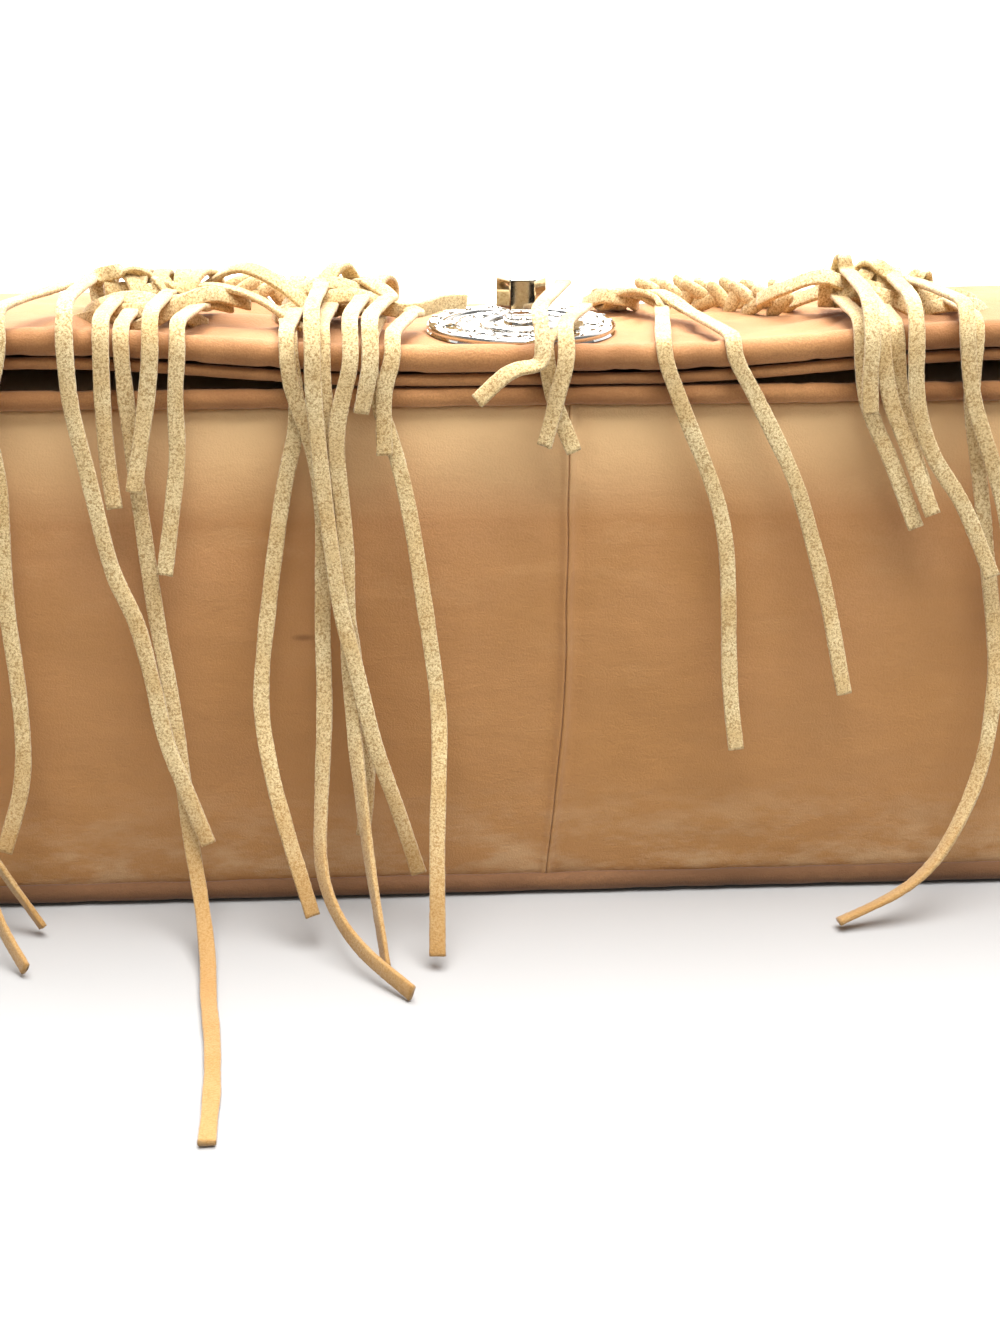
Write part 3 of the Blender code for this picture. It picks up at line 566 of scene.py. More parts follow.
def nubuck(name, main, deep, pale, wear_and_painted_light=0.0):
    """Sueded calf leather: cloudy colour, a fine nap, and scuffs. Bloom adds the base's own wear."""
    made, tree, shader, place = new_material(
        name, Sheen_Weight=0.18, Sheen_Roughness=0.55, Specular_IOR_Level=0.28)
    clouds = ranged(tree, noise_at(tree, place, 0.045, 5), 0.34, 0.68)
    colour = mixed(tree, clouds, main, deep)
    # Pale cloudy rubbing, wider than it is tall
    rubbed = ranged(tree, noise_at(tree, place, 0.018, 6, 0.65, (0.6, 0.6, 1.5)), 0.54, 0.74, 0, 0.42)
    colour = mixed(tree, rubbed, colour, pale)
    # The nap's own grain: light and dark hairs of a third of a millimetre
    grain = ranged(tree, noise_at(tree, place, 0.00042, 2), 0.36, 0.64)
    colour = mixed(tree, ranged(tree, grain, 0, 1, 0.0, 0.42), colour, deep)
    scuff = ranged(tree, noise_at(tree, place, 0.0030, 8, 0.75, (0.35, 0.35, 2.4)), 0.66, 0.72, 0, 0.40)
    colour = mixed(tree, scuff, colour, pale)
    if wear_and_painted_light:
        # Painted shade: the leather is coloured darker lower down, where less light reaches it
        height = add_node(tree, "ShaderNodeSeparateXYZ", {"Vector": place}).outputs["Z"]
        painted_shade_low = ranged(tree, height, 0.112, 0.050, 0, 0.75)
        colour = mixed(tree, painted_shade_low, colour, deep)
        # Painted highlight: the leather is coloured paler along the top edge, where the top light catches it
        painted_highlight_top = ranged(tree, height, 0.092, 0.114, 0, 0.85)
        colour = mixed(tree, painted_highlight_top, colour, "#EBC590")
        # One small dark mark, a few millimetres long
        off = vector_sum(tree, "SUBTRACT", place, MARK_PLACE)
        flat = vector_sum(tree, "MULTIPLY", off, MARK_STRETCH)
        far = vector_sum(tree, "LENGTH", flat, output="Value")
        colour = mixed(tree, ranged(tree, far, 0.0016, 0.0005, 0, 0.55), colour, "#6B4426")
        # Handling has left the lowest part of the base paler in patches
        low = ranged(tree, height, 0.030, 0.004, 0, 1)
        patch = ranged(tree, noise_at(tree, place, 0.014, 6, 0.7, (0.8, 0.8, 2.2)), 0.44, 0.62, 0, wear_and_painted_light)
        colour = mixed(tree, number_sum(tree, "MULTIPLY", low, patch), colour, "#CDB08A")
    tree.links.new(colour, shader.inputs["Base Color"])
    tree.links.new(ranged(tree, clouds, 0, 1, 0.66, 0.86), shader.inputs["Roughness"])
    folds = noise_at(tree, place, 0.012, 4, 0.6, (0.5, 0.5, 1.3))
    bumped(tree, shader, [(folds, 0.45, 0.0013), (grain, 0.35, 0.00016)])
    return made


def lace_suede(name, main, speck, pale):
    """Split suede cut into lace: a speckled, open nap with darker fibres between pale ones."""
    made, tree, shader, place = new_material(
        name, Sheen_Weight=0.30, Sheen_Roughness=0.45, Specular_IOR_Level=0.18, Roughness=0.9)
    cloud = ranged(tree, noise_at(tree, place, 0.010, 4), 0.35, 0.65)
    colour = mixed(tree, cloud, main, pale)
    fibres = ranged(tree, noise_at(tree, place, 0.00050, 4, 0.7), 0.47, 0.60, 0, 0.80)
    colour = mixed(tree, fibres, colour, speck)
    fine = ranged(tree, noise_at(tree, place, 0.00022, 2, 0.6), 0.46, 0.62, 0, 0.45)
    colour = mixed(tree, fine, colour, speck)
    # The laces are coloured a darker tan towards their lowest ends, near the table
    height = add_node(tree, "ShaderNodeSeparateXYZ", {"Vector": place}).outputs["Z"]
    colour = mixed(tree, ranged(tree, height, 0.045, 0.004, 0, 0.80), colour, "#A5783F")
    tree.links.new(colour, shader.inputs["Base Color"])
    bumped(tree, shader, [(noise_at(tree, place, 0.00055, 4, 0.7), 0.75, 0.00035), (fine, 0.3, 0.0001)])
    return made


def steel(name, tint, roughness):
    """Polished plated metal, with the faint haze and small dents of use."""
    made, tree, shader, place = new_material(name, Metallic=1.0)
    haze = ranged(tree, noise_at(tree, place, 0.006, 5, 0.6), 0.35, 0.75, roughness, roughness + 0.07)
    tree.links.new(haze, shader.inputs["Roughness"])
    tone = ranged(tree, noise_at(tree, place, 0.004, 3), 0.4, 0.7, 0, 0.25)
    tree.links.new(mixed(tree, tone, tint, "#B9B4AB"), shader.inputs["Base Color"])
    bumped(tree, shader, [(noise_at(tree, place, 0.0050, 2), 0.06, 0.0001)])
    return made


def cloth(name, main, deep):
    """Plain-woven lining cloth: crossing threads."""
    made, tree, shader, place = new_material(name, Roughness=0.85, Sheen_Weight=0.2, Specular_IOR_Level=0.2)
    threads = []
    for direction in ("X", "Y"):
        threads.append(add_node(tree, "ShaderNodeTexWave", {
            "Vector": place, "Scale": 0.31 / THREAD, "Distortion": 0.6, "Detail": 1.0},
            bands_direction=direction).outputs["Fac"])
    weave = number_sum(tree, "MULTIPLY", *threads)
    tree.links.new(mixed(tree, weave, deep, main), shader.inputs["Base Color"])
    bumped(tree, shader, [(weave, 0.5, 0.0002)])
    return made


def stiff_board(name):
    """Grey-brown fibre board that keeps the base flat."""
    made, tree, shader, place = new_material(name, Roughness=0.9, Specular_IOR_Level=0.2)
    fibre = noise_at(tree, place, 0.0012, 5, 0.7, (0.4, 1, 1))
    colour = mixed(tree, ranged(tree, fibre, 0.35, 0.65), "#8C7A62", "#6B5B48")
    tree.links.new(colour, shader.inputs["Base Color"])
    bumped(tree, shader, [(fibre, 0.3, 0.0002)])
    return made


FINISHES = {}


def make_finishes(options):
    """Every material, made once."""
    tan = options.leather_colour
    # The base's leather: its own wear, with painted shade lower down and a painted highlight along the top
    # edge
    FINISHES["leather"] = nubuck("nubuck_tan_sueded", tan, "#A97945", "#CFA775", 0.45)
    FINISHES["flap"] = nubuck("nubuck_tan_flap", "#B98552", "#94643A", "#CB9C69")
    FINISHES["roll"] = nubuck("nubuck_tan_rolled_edge", "#BA8550", "#85572F", "#CB9B68")
    FINISHES["dark"] = nubuck("nubuck_brown_piping", "#7A5230", "#5F3F24", "#946B42")
    FINISHES["lace"] = lace_suede("split_suede_lace_cream", options.lace_colour, "#9A7440", "#EBD8A8")
    FINISHES["cloth"] = cloth("cotton_lining_brown", "#6E5138", "#4A3525")
    FINISHES["board"] = stiff_board("pressed_fibre_board")
    FINISHES["steel"] = steel("nickel_plate_polished", "#DAD8D4", 0.035)
    FINISHES["thread"] = cloth("waxed_linen_thread", "#D9BE8E", "#B3905C")


def finished(piece, body, slot, *nodes):
    """Declares a piece: the CAD nodes it stands for, its material slot and the body it rides on."""
    if nodes:
        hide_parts(*nodes)
    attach(piece, body)
    return piece


def plan_grid(half_width, front, radius, back, height, columns=150, rows=110):
    """A panel's grid in plan with rounded front corners, at height(x, y)."""
    arc = [front + radius * (1 - math.cos(math.radians(90 * i / 16))) for i in range(16)]
    grid = []
    for y in arc + spaced(front + radius, back, rows):
        half = half_width_at(y, half_width, front, radius)
        grid.append([Vector((half * u, y, height(half * u, y))) for u in spaced(-1, 1, columns)])
    return sheet_points(grid)


def flap_skin(x, y):
    """The flap leather's height, with soft puckers that run out of the knots and the lock."""
    wrinkle = 0.00042 * soft_noise(x * 0.55, y * 1.5, 0, 0.011, 4.0)
    wrinkle += 0.0005 * soft_noise(x, y, 0, 0.034, 8.0)
    pull = 0.0
    for centre_x, back in PULLS:
        away = math.hypot(x - centre_x, y - BASE_Y - back)
        spoke = math.sin(9 * math.atan2(y - BASE_Y - back, x - centre_x) + centre_x * 70)
        pull += 0.00055 * spoke * math.exp(-((away - 0.016) / 0.014) ** 2)
    away = math.hypot(x, y - LOCK_Y)
    calm = smooth((away - 0.020) / 0.010)
    return flap_z(x, y) + (wrinkle + pull) * calm


def make_shell():
    """The leather panels: two soft side walls that meet in the base's seam, front, back and top."""
    inner = LEATHER + GAP
    leather = FINISHES["leather"]
    front = plan_grid(HALF_WIDTH - inner, BASE_Y + inner, CORNER - inner, MOUTH_Y,
                      lambda x, y: panel_z(y) + 0.0003 * soft_noise(x, y, 0, 0.03, 2))
    piece = thick_sheet("front_leather", front, LEATHER, leather)
    finished(piece, "bag", "tan_leather", "front_panel")
    back = plan_grid(HALF_WIDTH - inner, BASE_Y + inner, CORNER - inner, TOP_Y - GAP,
                     lambda x, y: LEATHER / 2 + 0.0002 + 0.0002 * soft_noise(x, y, 0, 0.03, 3), 90, 60)
    finished(thick_sheet("back_leather", back, LEATHER, leather), "bag", "tan_leather", "back_panel")
    top = [[Vector((x, TOP_Y - LEATHER / 2 + 0.0004 * soft_noise(x, 0, z, 0.02, 5), z))
            for x in spaced(-HALF_WIDTH, HALF_WIDTH, 120)]
           for z in spaced(LEATHER + GAP, HINGE_Z - 0.0013, 14)]
    piece = thick_sheet("top_leather", sheet_points(top), LEATHER, leather)
    finished(piece, "bag", "tan_leather", "top_panel")
    for word, side in (("left", -1), ("right", 1)):
        grid = gusset_grid(side)
        piece = thick_sheet("side_leather_" + word, grid, LEATHER, leather)
        finished(piece, "bag", "tan_leather", "gusset_" + word)


def gusset_grid(side):
    """One side wall and its half of the base, turned up into a fine ridge at the centre seam."""
    middle = LEATHER / 2
    path = plan_path(HALF_WIDTH - middle, BASE_Y + middle, CORNER, TOP_Y - LEATHER - 2 * GAP, 20, 80)
    low = 2 * WELT_RADIUS - TUCK
    near_seam = [0.0, 0.00025, 0.0005, 0.0008, 0.0012, 0.0018, 0.0027, 0.004]
    flat_run = 90
    rows = []
    for level in spaced(0, 1, 70):
        row = []
        height = panel_z(BASE_Y) - WELT_RADIUS - LEATHER / 4 + TUCK - low
        z = low + level * height
        wander = 0.0006 * soft_noise(0, 0, z, 0.018, 7)
        start = side * (seam_x(z) + wander)
        run = path[0].x - start
        for step in range(flat_run + len(near_seam)):
            if step < len(near_seam):
                off = near_seam[step]
            else:
                off = near_seam[-1] + (run - near_seam[-1]) * (step + 1 - len(near_seam)) / (flat_run + 1)
            x = start + off
            ridge = 0.00085 * math.exp(-(off / 0.0009) ** 2)
            ridge -= 0.0004 * math.exp(-((off - 0.003) / 0.0016) ** 2)
            belly = 0.0026 * math.sin(math.pi * level) ** 0.55
            belly *= math.sin(math.pi * min(1, off / run + 0.25) * 0.8) ** 0.5
            ripple = 0.0005 * soft_noise(x * 0.6, 0, z, 0.028, 11 + side)
            ripple += 0.00016 * soft_noise(x, 0, z * 0.7, 0.006, 3)
            row.append(Vector((side * x, path[0].y - ridge - belly - ripple, z)))
        for index, spot in enumerate(path[1:], 1):
            around = index / (len(path) - 1)
            z = low + level * (panel_z(spot.y) - WELT_RADIUS - LEATHER / 4 + TUCK - low)
            nxt = path[min(index + 1, len(path) - 1)] - path[index - 1]
            out = Vector((nxt.y, -nxt.x)).normalized()
            sag = 0.0045 * math.sin(math.pi * level)
            sag *= smooth((around - 0.2) / 0.4) * smooth((1 - around) / 0.1)
            ripple = 0.0007 * soft_noise(spot.x, spot.y, z, 0.03, 21 + side) * math.sin(math.pi * level)
            spot = spot - out * (sag + ripple)
            row.append(Vector((side * spot.x, spot.y, z)))
        rows.append(row)
    return sheet_points(rows)


def make_rolls():
    """The welts round the bag, the fat rolled edge of the flap and the thin piping under it."""
    back = TOP_Y - LEATHER - 2 * GAP
    outline = whole_path(HALF_WIDTH + 0.0013, BASE_Y - 0.0013, CORNER + 0.0013, back - 0.004, 16)
    edge = whole_path(HALF_WIDTH + 0.0014, BASE_Y - 0.0018, CORNER + 0.0018, back - 0.004, 26)
    lower = BINDING_RADIUS + PIPING_RADIUS + GAP + 0.0002
    for name, line, height, radius, finish, slot, body, node, crease in (
        ("rolled_welt_front", outline, lambda p: panel_z(p.y) + 0.0011,
         WELT_RADIUS, "roll", "tan_leather", "bag", "welt_front", 0.09),
        ("rolled_welt_back", outline, lambda p: WELT_RADIUS + GAP,
         WELT_RADIUS, "dark", "dark_leather", "bag", "welt_back", 0.07),
        ("rolled_flap_edge", edge, lambda p: flap_z(p.x, p.y) - 0.0001,
         BINDING_RADIUS, "roll", "tan_leather", "flap", "flap_binding", 0.10),
        ("flap_edge_piping", edge, lambda p: flap_z(p.x, p.y) - lower * lean(p.y),
         PIPING_RADIUS, "roll", "dark_leather", "flap", "flap_piping", 0.06),
    ):
        route = [Vector((p.x, p.y, height(p))) for p in line]
        points = curve_through(route, 0.0012)
        piece = roll(name, points, radius, FINISHES[finish], len(name) * 1.7, 20, crease)
        finished(piece, body, slot, node)


def make_flap():
    """The flap's leather, puckered where the knots and the lock pull it, and its lining."""
    edge = 2 * BINDING_RADIUS + 0.0002
    front = BASE_Y - 0.0048 + edge + GAP - 0.0028
    half = HALF_WIDTH + 0.0044 - edge + 0.0028
    back = HINGE_Y - 0.0012
    grid = plan_grid(half, front, CORNER, back, flap_skin, 230, 170)
    panel = thick_sheet("flap_leather", grid, LEATHER, FINISHES["flap"])
    finished(panel, "flap", "tan_leather", "flap_panel")
    drop = LEATHER / 2 + 0.0008 + GAP
    lining = plan_grid(half - 0.003, front + 0.003, CORNER, back,
                       lambda x, y: flap_z(x, y) - drop * lean(y), 90, 70)
    piece = thick_sheet("flap_cloth", lining, 0.0010, FINISHES["cloth"])
    finished(piece, "flap", "lining_cloth", "flap_lining")


def make_lining():
    """The cloth sack inside, open at the mouth, with soft folds."""
    clear = LEATHER + 2 * GAP
    half = HALF_WIDTH - 0.012
    front = BASE_Y + 0.0075
    under = LEATHER / 2 + 0.0012
    profile = [Vector((0, y, panel_z(y) - under * lean(y))) for y in spaced(MOUTH_Y, front, 40)]
    profile += [Vector((0, front, z)) for z in spaced(profile[-1].z, clear + 0.005, 30)[1:]]
    profile += [Vector((0, y, clear + 0.0008)) for y in spaced(front + 0.003, TOP_Y - 0.006, 50)]
    profile += [Vector((0, TOP_Y - 0.0028, z)) for z in spaced(clear + 0.003, panel_z(TOP_Y) - 0.004, 8)]
    grid = [[Vector((x, p.y + 0.0007 * soft_noise(x, p.y, p.z, 0.02, 2),
                     p.z + 0.0005 * soft_noise(x, p.y, p.z, 0.018, 9)))
             for x in spaced(-half, half, 90)] for p in profile]
    points = sheet_points(grid)
    piece = thick_sheet("lining_sack", points, 0.0006, FINISHES["cloth"])
    sides = []
    for number, end in enumerate((-1, 1)):
        wall = []
        for share in spaced(0, 1, 30):
            y = front + (MOUTH_Y - front) * share
            top = panel_z(y) - under * lean(y)
            wall.append([Vector((end * half + 0.0008 * soft_noise(0, y, z, 0.02, number), y, z))
                         for z in spaced(clear + 0.0012, top, 24)])
        sides.append(thick_sheet("lining_side_%d" % number, sheet_points(wall), 0.0006, FINISHES["cloth"]))
    for side in sides:
        finished(side, "bag", "lining_cloth")
    finished(piece, "bag", "lining_cloth", "lining")


def relaxed(points, rounds):
    """The same line with its corners eased, and its ends kept."""
    line = np.array([tuple(p) for p in points])
    for _ in range(rounds):
        line[1:-1] = (line[:-2] + 2 * line[1:-1] + line[2:]) / 4
    return [Vector(p) for p in line]


def lace_line(name):
    """The lace's points and sideways directions, along the CAD's route with its corners eased."""
    start, over, layer, hang, twists = LACES[name]
    start = NEAR_STARTS.get(name, start)
    turn_length = start[1] * MM + 3 * BINDING_RADIUS + LAYER * layer
    points = smooth_line(lace_route(start, over, layer, hang), turn_length, LACE_STEP, LACE_STEP)
    points = relaxed(points, 26)
    return points, relaxed_sides(points, across_of(points, twists))


def relaxed_sides(points, sides):
    """Sideways directions that turn as gently as the lace does."""
    eased = relaxed(sides, 60)
    last = len(points) - 1
    runs = [(points[min(i + 1, last)] - points[max(i - 1, 0)]).normalized() for i in range(last + 1)]
    return [(side - run * side.dot(run)).normalized() for side, run in zip(eased, runs)]


def make_laces():
    """Every hanging lace, a free cord from where it leaves its knot."""
    for number, name in enumerate(LACES):
        points, sides = lace_line(name)
        mesh_points, faces = [], []
        ragged = 0.0008 if name in ("lace_d2", "lace_d3") else 0.00025
        add_ribbon(points, sides, mesh_points, faces, 3.1 * number, ragged)
        piece = mesh_object(name + "_suede", mesh_points, faces, FINISHES["lace"])
        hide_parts(name)
        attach(piece, "flap")


def make_knots():
    """Each knotted lump: standing arcs, wraps round its middle, and the tails of its laces tucked into it."""
    for number, (name, (x, back, half_x, half_y, half_z, letter)) in enumerate(KNOTS.items()):
        dice = random.Random(40 + number)
        mesh_points, faces = [], []
        centre = Vector((x * MM, BASE_Y + back * MM, 0))
        skin = max(flap_z(centre.x + s * half_x * MM, centre.y) for s in (-1, 0, 1)) + LEATHER / 2 + GAP
        centre.z = skin + half_z * MM
        for arc in ARCS[name]:
            route = [Vector((px * MM, BASE_Y + b * MM, z * MM)) for px, b, z in arc]
            points = curve_through(route, LACE_STEP)
            add_ribbon(points, arc_across(points), mesh_points, faces, dice.random() * 50, 0.0002)
        for wrap in range(3 + int(half_x > 8) * 3):
            at = centre + Vector(((wrap - 2.2) * half_x * 0.30 * MM, dice.uniform(-1, 1) * MM, -0.0005))
            tilt = dice.uniform(-0.7, 0.7)
            wide, tall = (half_y + dice.uniform(-0.6, 0.9)) * MM, (half_z - 0.9) * MM
            ring = []
            for i in range(13):
                a = 2 * math.pi * i / 12 + wrap
                out = wide * math.cos(a)
                ring.append(at + Vector((math.sin(tilt) * out, out, tall * math.sin(a))))
            points = curve_through(ring, LACE_STEP)
            add_ribbon(points, arc_across(points), mesh_points, faces, dice.random() * 50, 0.0)
        for lace in (n for n in LACES if n[5] == letter):
            points, sides = lace_line(lace)
            start, run = points[0], (points[0] - points[1]).normalized()
            end = centre + Vector((dice.uniform(-0.55, 0.55) * half_x * MM, dice.uniform(0, 3) * MM, -0.001))
            top = max(start.z, end.z) + dice.uniform(0.0008, 0.0030)
            middle = start.lerp(end, 0.55)
            route = [start - run * 0.0008, start + run * 0.004, Vector((middle.x, middle.y, top)), end]
            tail = curve_through(route, LACE_STEP)
            add_ribbon(tail, across_of(tail, (0, 0)), mesh_points, faces, dice.random() * 50, 0.0)
        piece = mesh_object(name + "_suede", mesh_points, faces, FINISHES["lace"])
        finished(piece, "flap", "lace_suede", name)


def row_tree(finish):
    """A node tree that sets a small shape along a path, turned and shifted to either side in turn."""
    tree = bpy.data.node_groups.new("row_along_path", "GeometryNodeTree")
    face = tree.interface
    for label, kind in (("Path", "Geometry"), ("Shape", "Object"), ("Pitch", "Float"), ("Turn", "Float"),
                        ("Shift", "Float"), ("Jitter", "Float"), ("Seed", "Int")):
        face.new_socket(label, in_out="INPUT", socket_type="NodeSocket" + kind)
    face.new_socket("Geometry", in_out="OUTPUT", socket_type="NodeSocketGeometry")
    given = add_node(tree, "NodeGroupInput").outputs
    spots = add_node(tree, "GeometryNodeCurveToPoints", {
        "Curve": given["Path"], "Length": given["Pitch"]}, mode="LENGTH")
    shape = add_node(tree, "GeometryNodeObjectInfo", {"Object": given["Shape"], "As Instance": True})
    placed = add_node(tree, "GeometryNodeInstanceOnPoints", {
        "Points": spots.outputs["Points"], "Instance": shape.outputs["Geometry"],
        "Rotation": spots.outputs["Rotation"]})
    index = add_node(tree, "GeometryNodeInputIndex").outputs["Index"]
    odd = number_sum(tree, "MODULO", index, 2.0)
    sign = number_sum(tree, "MULTIPLY_ADD", odd, 2.0, -1.0)
    chance = add_node(tree, "FunctionNodeRandomValue", {
        2: -1.0, 3: 1.0, "Seed": given["Seed"]}, data_type="FLOAT").outputs[1]
    wobble = number_sum(tree, "MULTIPLY", chance, given["Jitter"])
    turn = number_sum(tree, "MULTIPLY_ADD", sign, given["Turn"], wobble)
    shift = number_sum(tree, "MULTIPLY", sign, given["Shift"])
    angle = add_node(tree, "ShaderNodeCombineXYZ", {"X": turn}).outputs[0]
    turned = add_node(tree, "GeometryNodeRotateInstances", {
        "Instances": placed.outputs[0], "Rotation": angle})
    offset = add_node(tree, "ShaderNodeCombineXYZ", {"Y": shift}).outputs[0]
    moved = add_node(tree, "GeometryNodeTranslateInstances", {
        "Instances": turned.outputs[0], "Translation": offset})
    real = add_node(tree, "GeometryNodeRealizeInstances", {"Geometry": moved.outputs[0]})
    painted = add_node(tree, "GeometryNodeSetMaterial", {"Geometry": real.outputs[0], "Material": finish})
    add_node(tree, "NodeGroupOutput", {"Geometry": painted.outputs[0]})
    return tree


def row_along(name, points, shape, finish, pitch, turn=0.0, shift=0.0, jitter=0.0, seed=1, cyclic=False):
    """Runs the node tree on a path, and keeps the result as one plain mesh."""
    line = bpy.data.curves.new(name, "CURVE")
    line.dimensions = "3D"
    line.twist_mode = "Z_UP"
    spline = line.splines.new("POLY")
    spline.points.add(len(points) - 1)
    spline.use_cyclic_u = cyclic
    for spot, point in zip(spline.points, points):
        spot.co = (*point, 1)
    path = linked(name + "_path", line)
    maker = path.modifiers.new("row", "NODES")
    maker.node_group = row_tree(finish)
    values = {"Shape": shape, "Pitch": pitch, "Turn": turn, "Shift": shift, "Jitter": jitter, "Seed": seed}
    for item in maker.node_group.interface.items_tree:
        if item.in_out == "INPUT" and item.name in values:
            maker[item.identifier] = values[item.name]
    path.update_tag()
    bpy.context.view_layer.update()
    graph = bpy.context.evaluated_depsgraph_get()
    data = bpy.data.meshes.new_from_object(path.evaluated_get(graph), depsgraph=graph)
    if not data.polygons:
        raise RuntimeError(name + ": the node tree gave no faces")
    bpy.data.objects.remove(path, do_unlink=True)
    data.polygons.foreach_set("use_smooth", [True] * len(data.polygons))
    return linked(name, data)


def small_shape(name, size, segments=12, rings=8, power=1.0):
    """A small rounded lozenge, long in Z, wide in Y and thin in X, for a row along a path."""
    work = bmesh.new()
    bmesh.ops.create_uvsphere(work, u_segments=segments, v_segments=rings, radius=0.5)
    for vert in work.verts:
        flat = [math.copysign(abs(vert.co[i] * 2) ** power / 2, vert.co[i]) for i in range(3)]
        vert.co = Vector((flat[0] * size[0], flat[1] * size[1], flat[2] * size[2]))
    data = bpy.data.meshes.new(name)
    work.to_mesh(data)
    work.free()
    return linked(name, data)


def joined(name, parts, finish):
    """Several meshes as one piece."""
    work = bmesh.new()
    for part in parts:
        work.from_mesh(part.data)
    for face in work.faces:
        face.material_index = 0
    data = bpy.data.meshes.new(name)
    work.to_mesh(data)
    work.free()
    data.materials.append(finish)
    for part in parts:
        bpy.data.objects.remove(part, do_unlink=True)
    return linked(name, data)


def make_braids():
    """Two plaited bars on the flap, from beside the lock to their bundles."""
    leaf = small_shape("plait_leaf", (0.0024, 0.0034, 0.0088), 14, 10, 0.8)
    for number, (name, (start, end)) in enumerate(BRAIDS.items()):
        start = Vector((start[0] * MM, BASE_Y + start[1] * MM, 0))
        end = Vector((end[0] * MM, BASE_Y + end[1] * MM, 0))
        across = (end - start).cross(Vector((0, 0, 1))).normalized() * 0.0045
        lanes = []
        for lane in (-0.62, 0.62):
            points = []
            for share in spaced(0, 1, 24):
                spot = start.lerp(end, share) + across * lane
                lift = max(flap_z(spot.x + s * across.x, spot.y + s * across.y) for s in (-1, 0, 1))
                wave = 0.0004 * math.sin(share * 19 + lane)
                points.append(Vector((spot.x, spot.y, lift + LEATHER / 2 + GAP + 0.0024 + wave)))
            lanes.append(row_along(name + "_lane", points, leaf, FINISHES["lace"], 0.0031,
                                   math.radians(38), 0.0013, 0.22, number * 2 + len(lanes)))
        finished(joined(name + "_suede", lanes, FINISHES["lace"]), "flap", "lace_suede", name)
    bpy.data.objects.remove(leaf, do_unlink=True)


def lathe(name, profile, centre, finish, sides=96):
    """A turned ring from a closed outline of (radius, z)."""
    points, faces = [], []
    count = len(profile)
    for i in range(sides):
        a = 2 * math.pi * i / sides
        points += [(centre[0] + r * math.cos(a), centre[1] + r * math.sin(a), z) for r, z in profile]
    for i in range(sides):
        for j in range(count):
            a, b = i * count + j, i * count + (j + 1) % count
            c, d = ((i + 1) % sides) * count + (j + 1) % count, ((i + 1) % sides) * count + j
            faces.append((a, b, c, d))
    return mesh_object(name, points, faces, finish)


def circle(radius, z, count=96):
    turns = [2 * math.pi * i / count for i in range(count)]
    return [Vector((radius * math.cos(a), LOCK_Y + radius * math.sin(a), z)) for a in turns]


def make_lock():
    """The round plate's relief, a generic ring of beads in a stepped, notched rim, and the knob."""
    metal = FINISHES["steel"]
    top = PLATE_TOP_Z
    rim = [(0.0214, top - 0.0006), (0.0215, top + 0.0002), (0.0210, top + 0.0006), (0.0203, top + 0.0009),
           (0.0192, top + 0.0009), (0.0187, top + 0.0005), (0.0181, top + 0.0005), (0.0177, top + 0.0001),
           (0.0177, top - 0.0006)]
    finished(lathe("plate_rim", rim, (0, LOCK_Y), metal), "flap", "polished_metal")
    collar = [(0.0096, top - 0.0002), (0.0096, top + 0.0003), (0.0091, top + 0.0007), (0.0083, top + 0.0007),
              (0.0078, top + 0.0003), (0.0078, top - 0.0002)]
    finished(lathe("plate_collar", collar, (0, LOCK_Y), metal), "flap", "polished_metal")
    bead = small_shape("bead", (0.0032, 0.0016, 0.0050), 16, 12)
    notch = small_shape("notch", (0.0027, 0.0011, 0.0016), 10, 8, 0.5)
    for name, radius, z, shape, count in (("plate_beads", 0.0136, top, bead, 14),
                                          ("plate_notches", 0.0197, top + 0.0006, notch, 20)):
        pitch = 2 * math.pi * radius / count
        ring = row_along(name, circle(radius, z), shape, metal, pitch, cyclic=True)
        finished(ring, "flap", "polished_metal")
    for shape in (bead, notch):
        bpy.data.objects.remove(shape, do_unlink=True)
    finished(make_knob(), "knob", "polished_metal", "lock_knob")
    finished(make_boss(), "bag", "polished_metal")


def hexagon(work, levels):
    """A closed, bevelled hexagonal solid with a facet to the front, from (z, radius) levels."""
    rings = []
    for z, radius in levels:
        turns = [math.radians(60 * i) for i in range(6)]
        rings.append([work.verts.new((radius * math.cos(a), LOCK_Y + radius * math.sin(a), z))
                      for a in turns])
    for below, above in zip(rings, rings[1:]):
        for i in range(6):
            work.faces.new((below[i], below[(i + 1) % 6], above[(i + 1) % 6], above[i]))
    work.faces.new(rings[-1])
    work.faces.new(rings[0][::-1])
    bmesh.ops.bevel(work, geom=work.edges[:], offset=0.00028, segments=3, affect="EDGES", profile=0.6)


def metal_piece(name, work):
    data = bpy.data.meshes.new(name)
    work.to_mesh(data)
    work.free()
    data.materials.append(FINISHES["steel"])
    return linked(name, data)


def make_boss():
    """The raised hexagonal seat on the bag, which stands in the plate's hole when the flap is shut."""
    work = bmesh.new()
    hexagon(work, [(0.1214, 0.0064), (PLATE_TOP_Z + 0.0002, 0.0064), (PLATE_TOP_Z + 0.0007, 0.0056)])
    return metal_piece("lock_seat", work)


def make_knob():
    """The hexagonal head, with a flat facet to the front, over a round neck."""
    low, high = 0.1329, KNOB_TOP_Z
    neck_low, neck_high = 0.1171, low + 0.0008
    work = bmesh.new()
    hexagon(work, [(low, 0.0042), (low + 0.0022, 0.0057), (high - 0.0009, 0.0057), (high, 0.0047)])
    neck = bmesh.ops.create_cone(work, cap_ends=True, segments=32, radius1=0.0040, radius2=0.0040,
                                 depth=neck_high - neck_low)
    bmesh.ops.translate(work, verts=neck["verts"], vec=(0, LOCK_Y, (neck_high + neck_low) / 2))
    return metal_piece("lock_knob_polished", work)


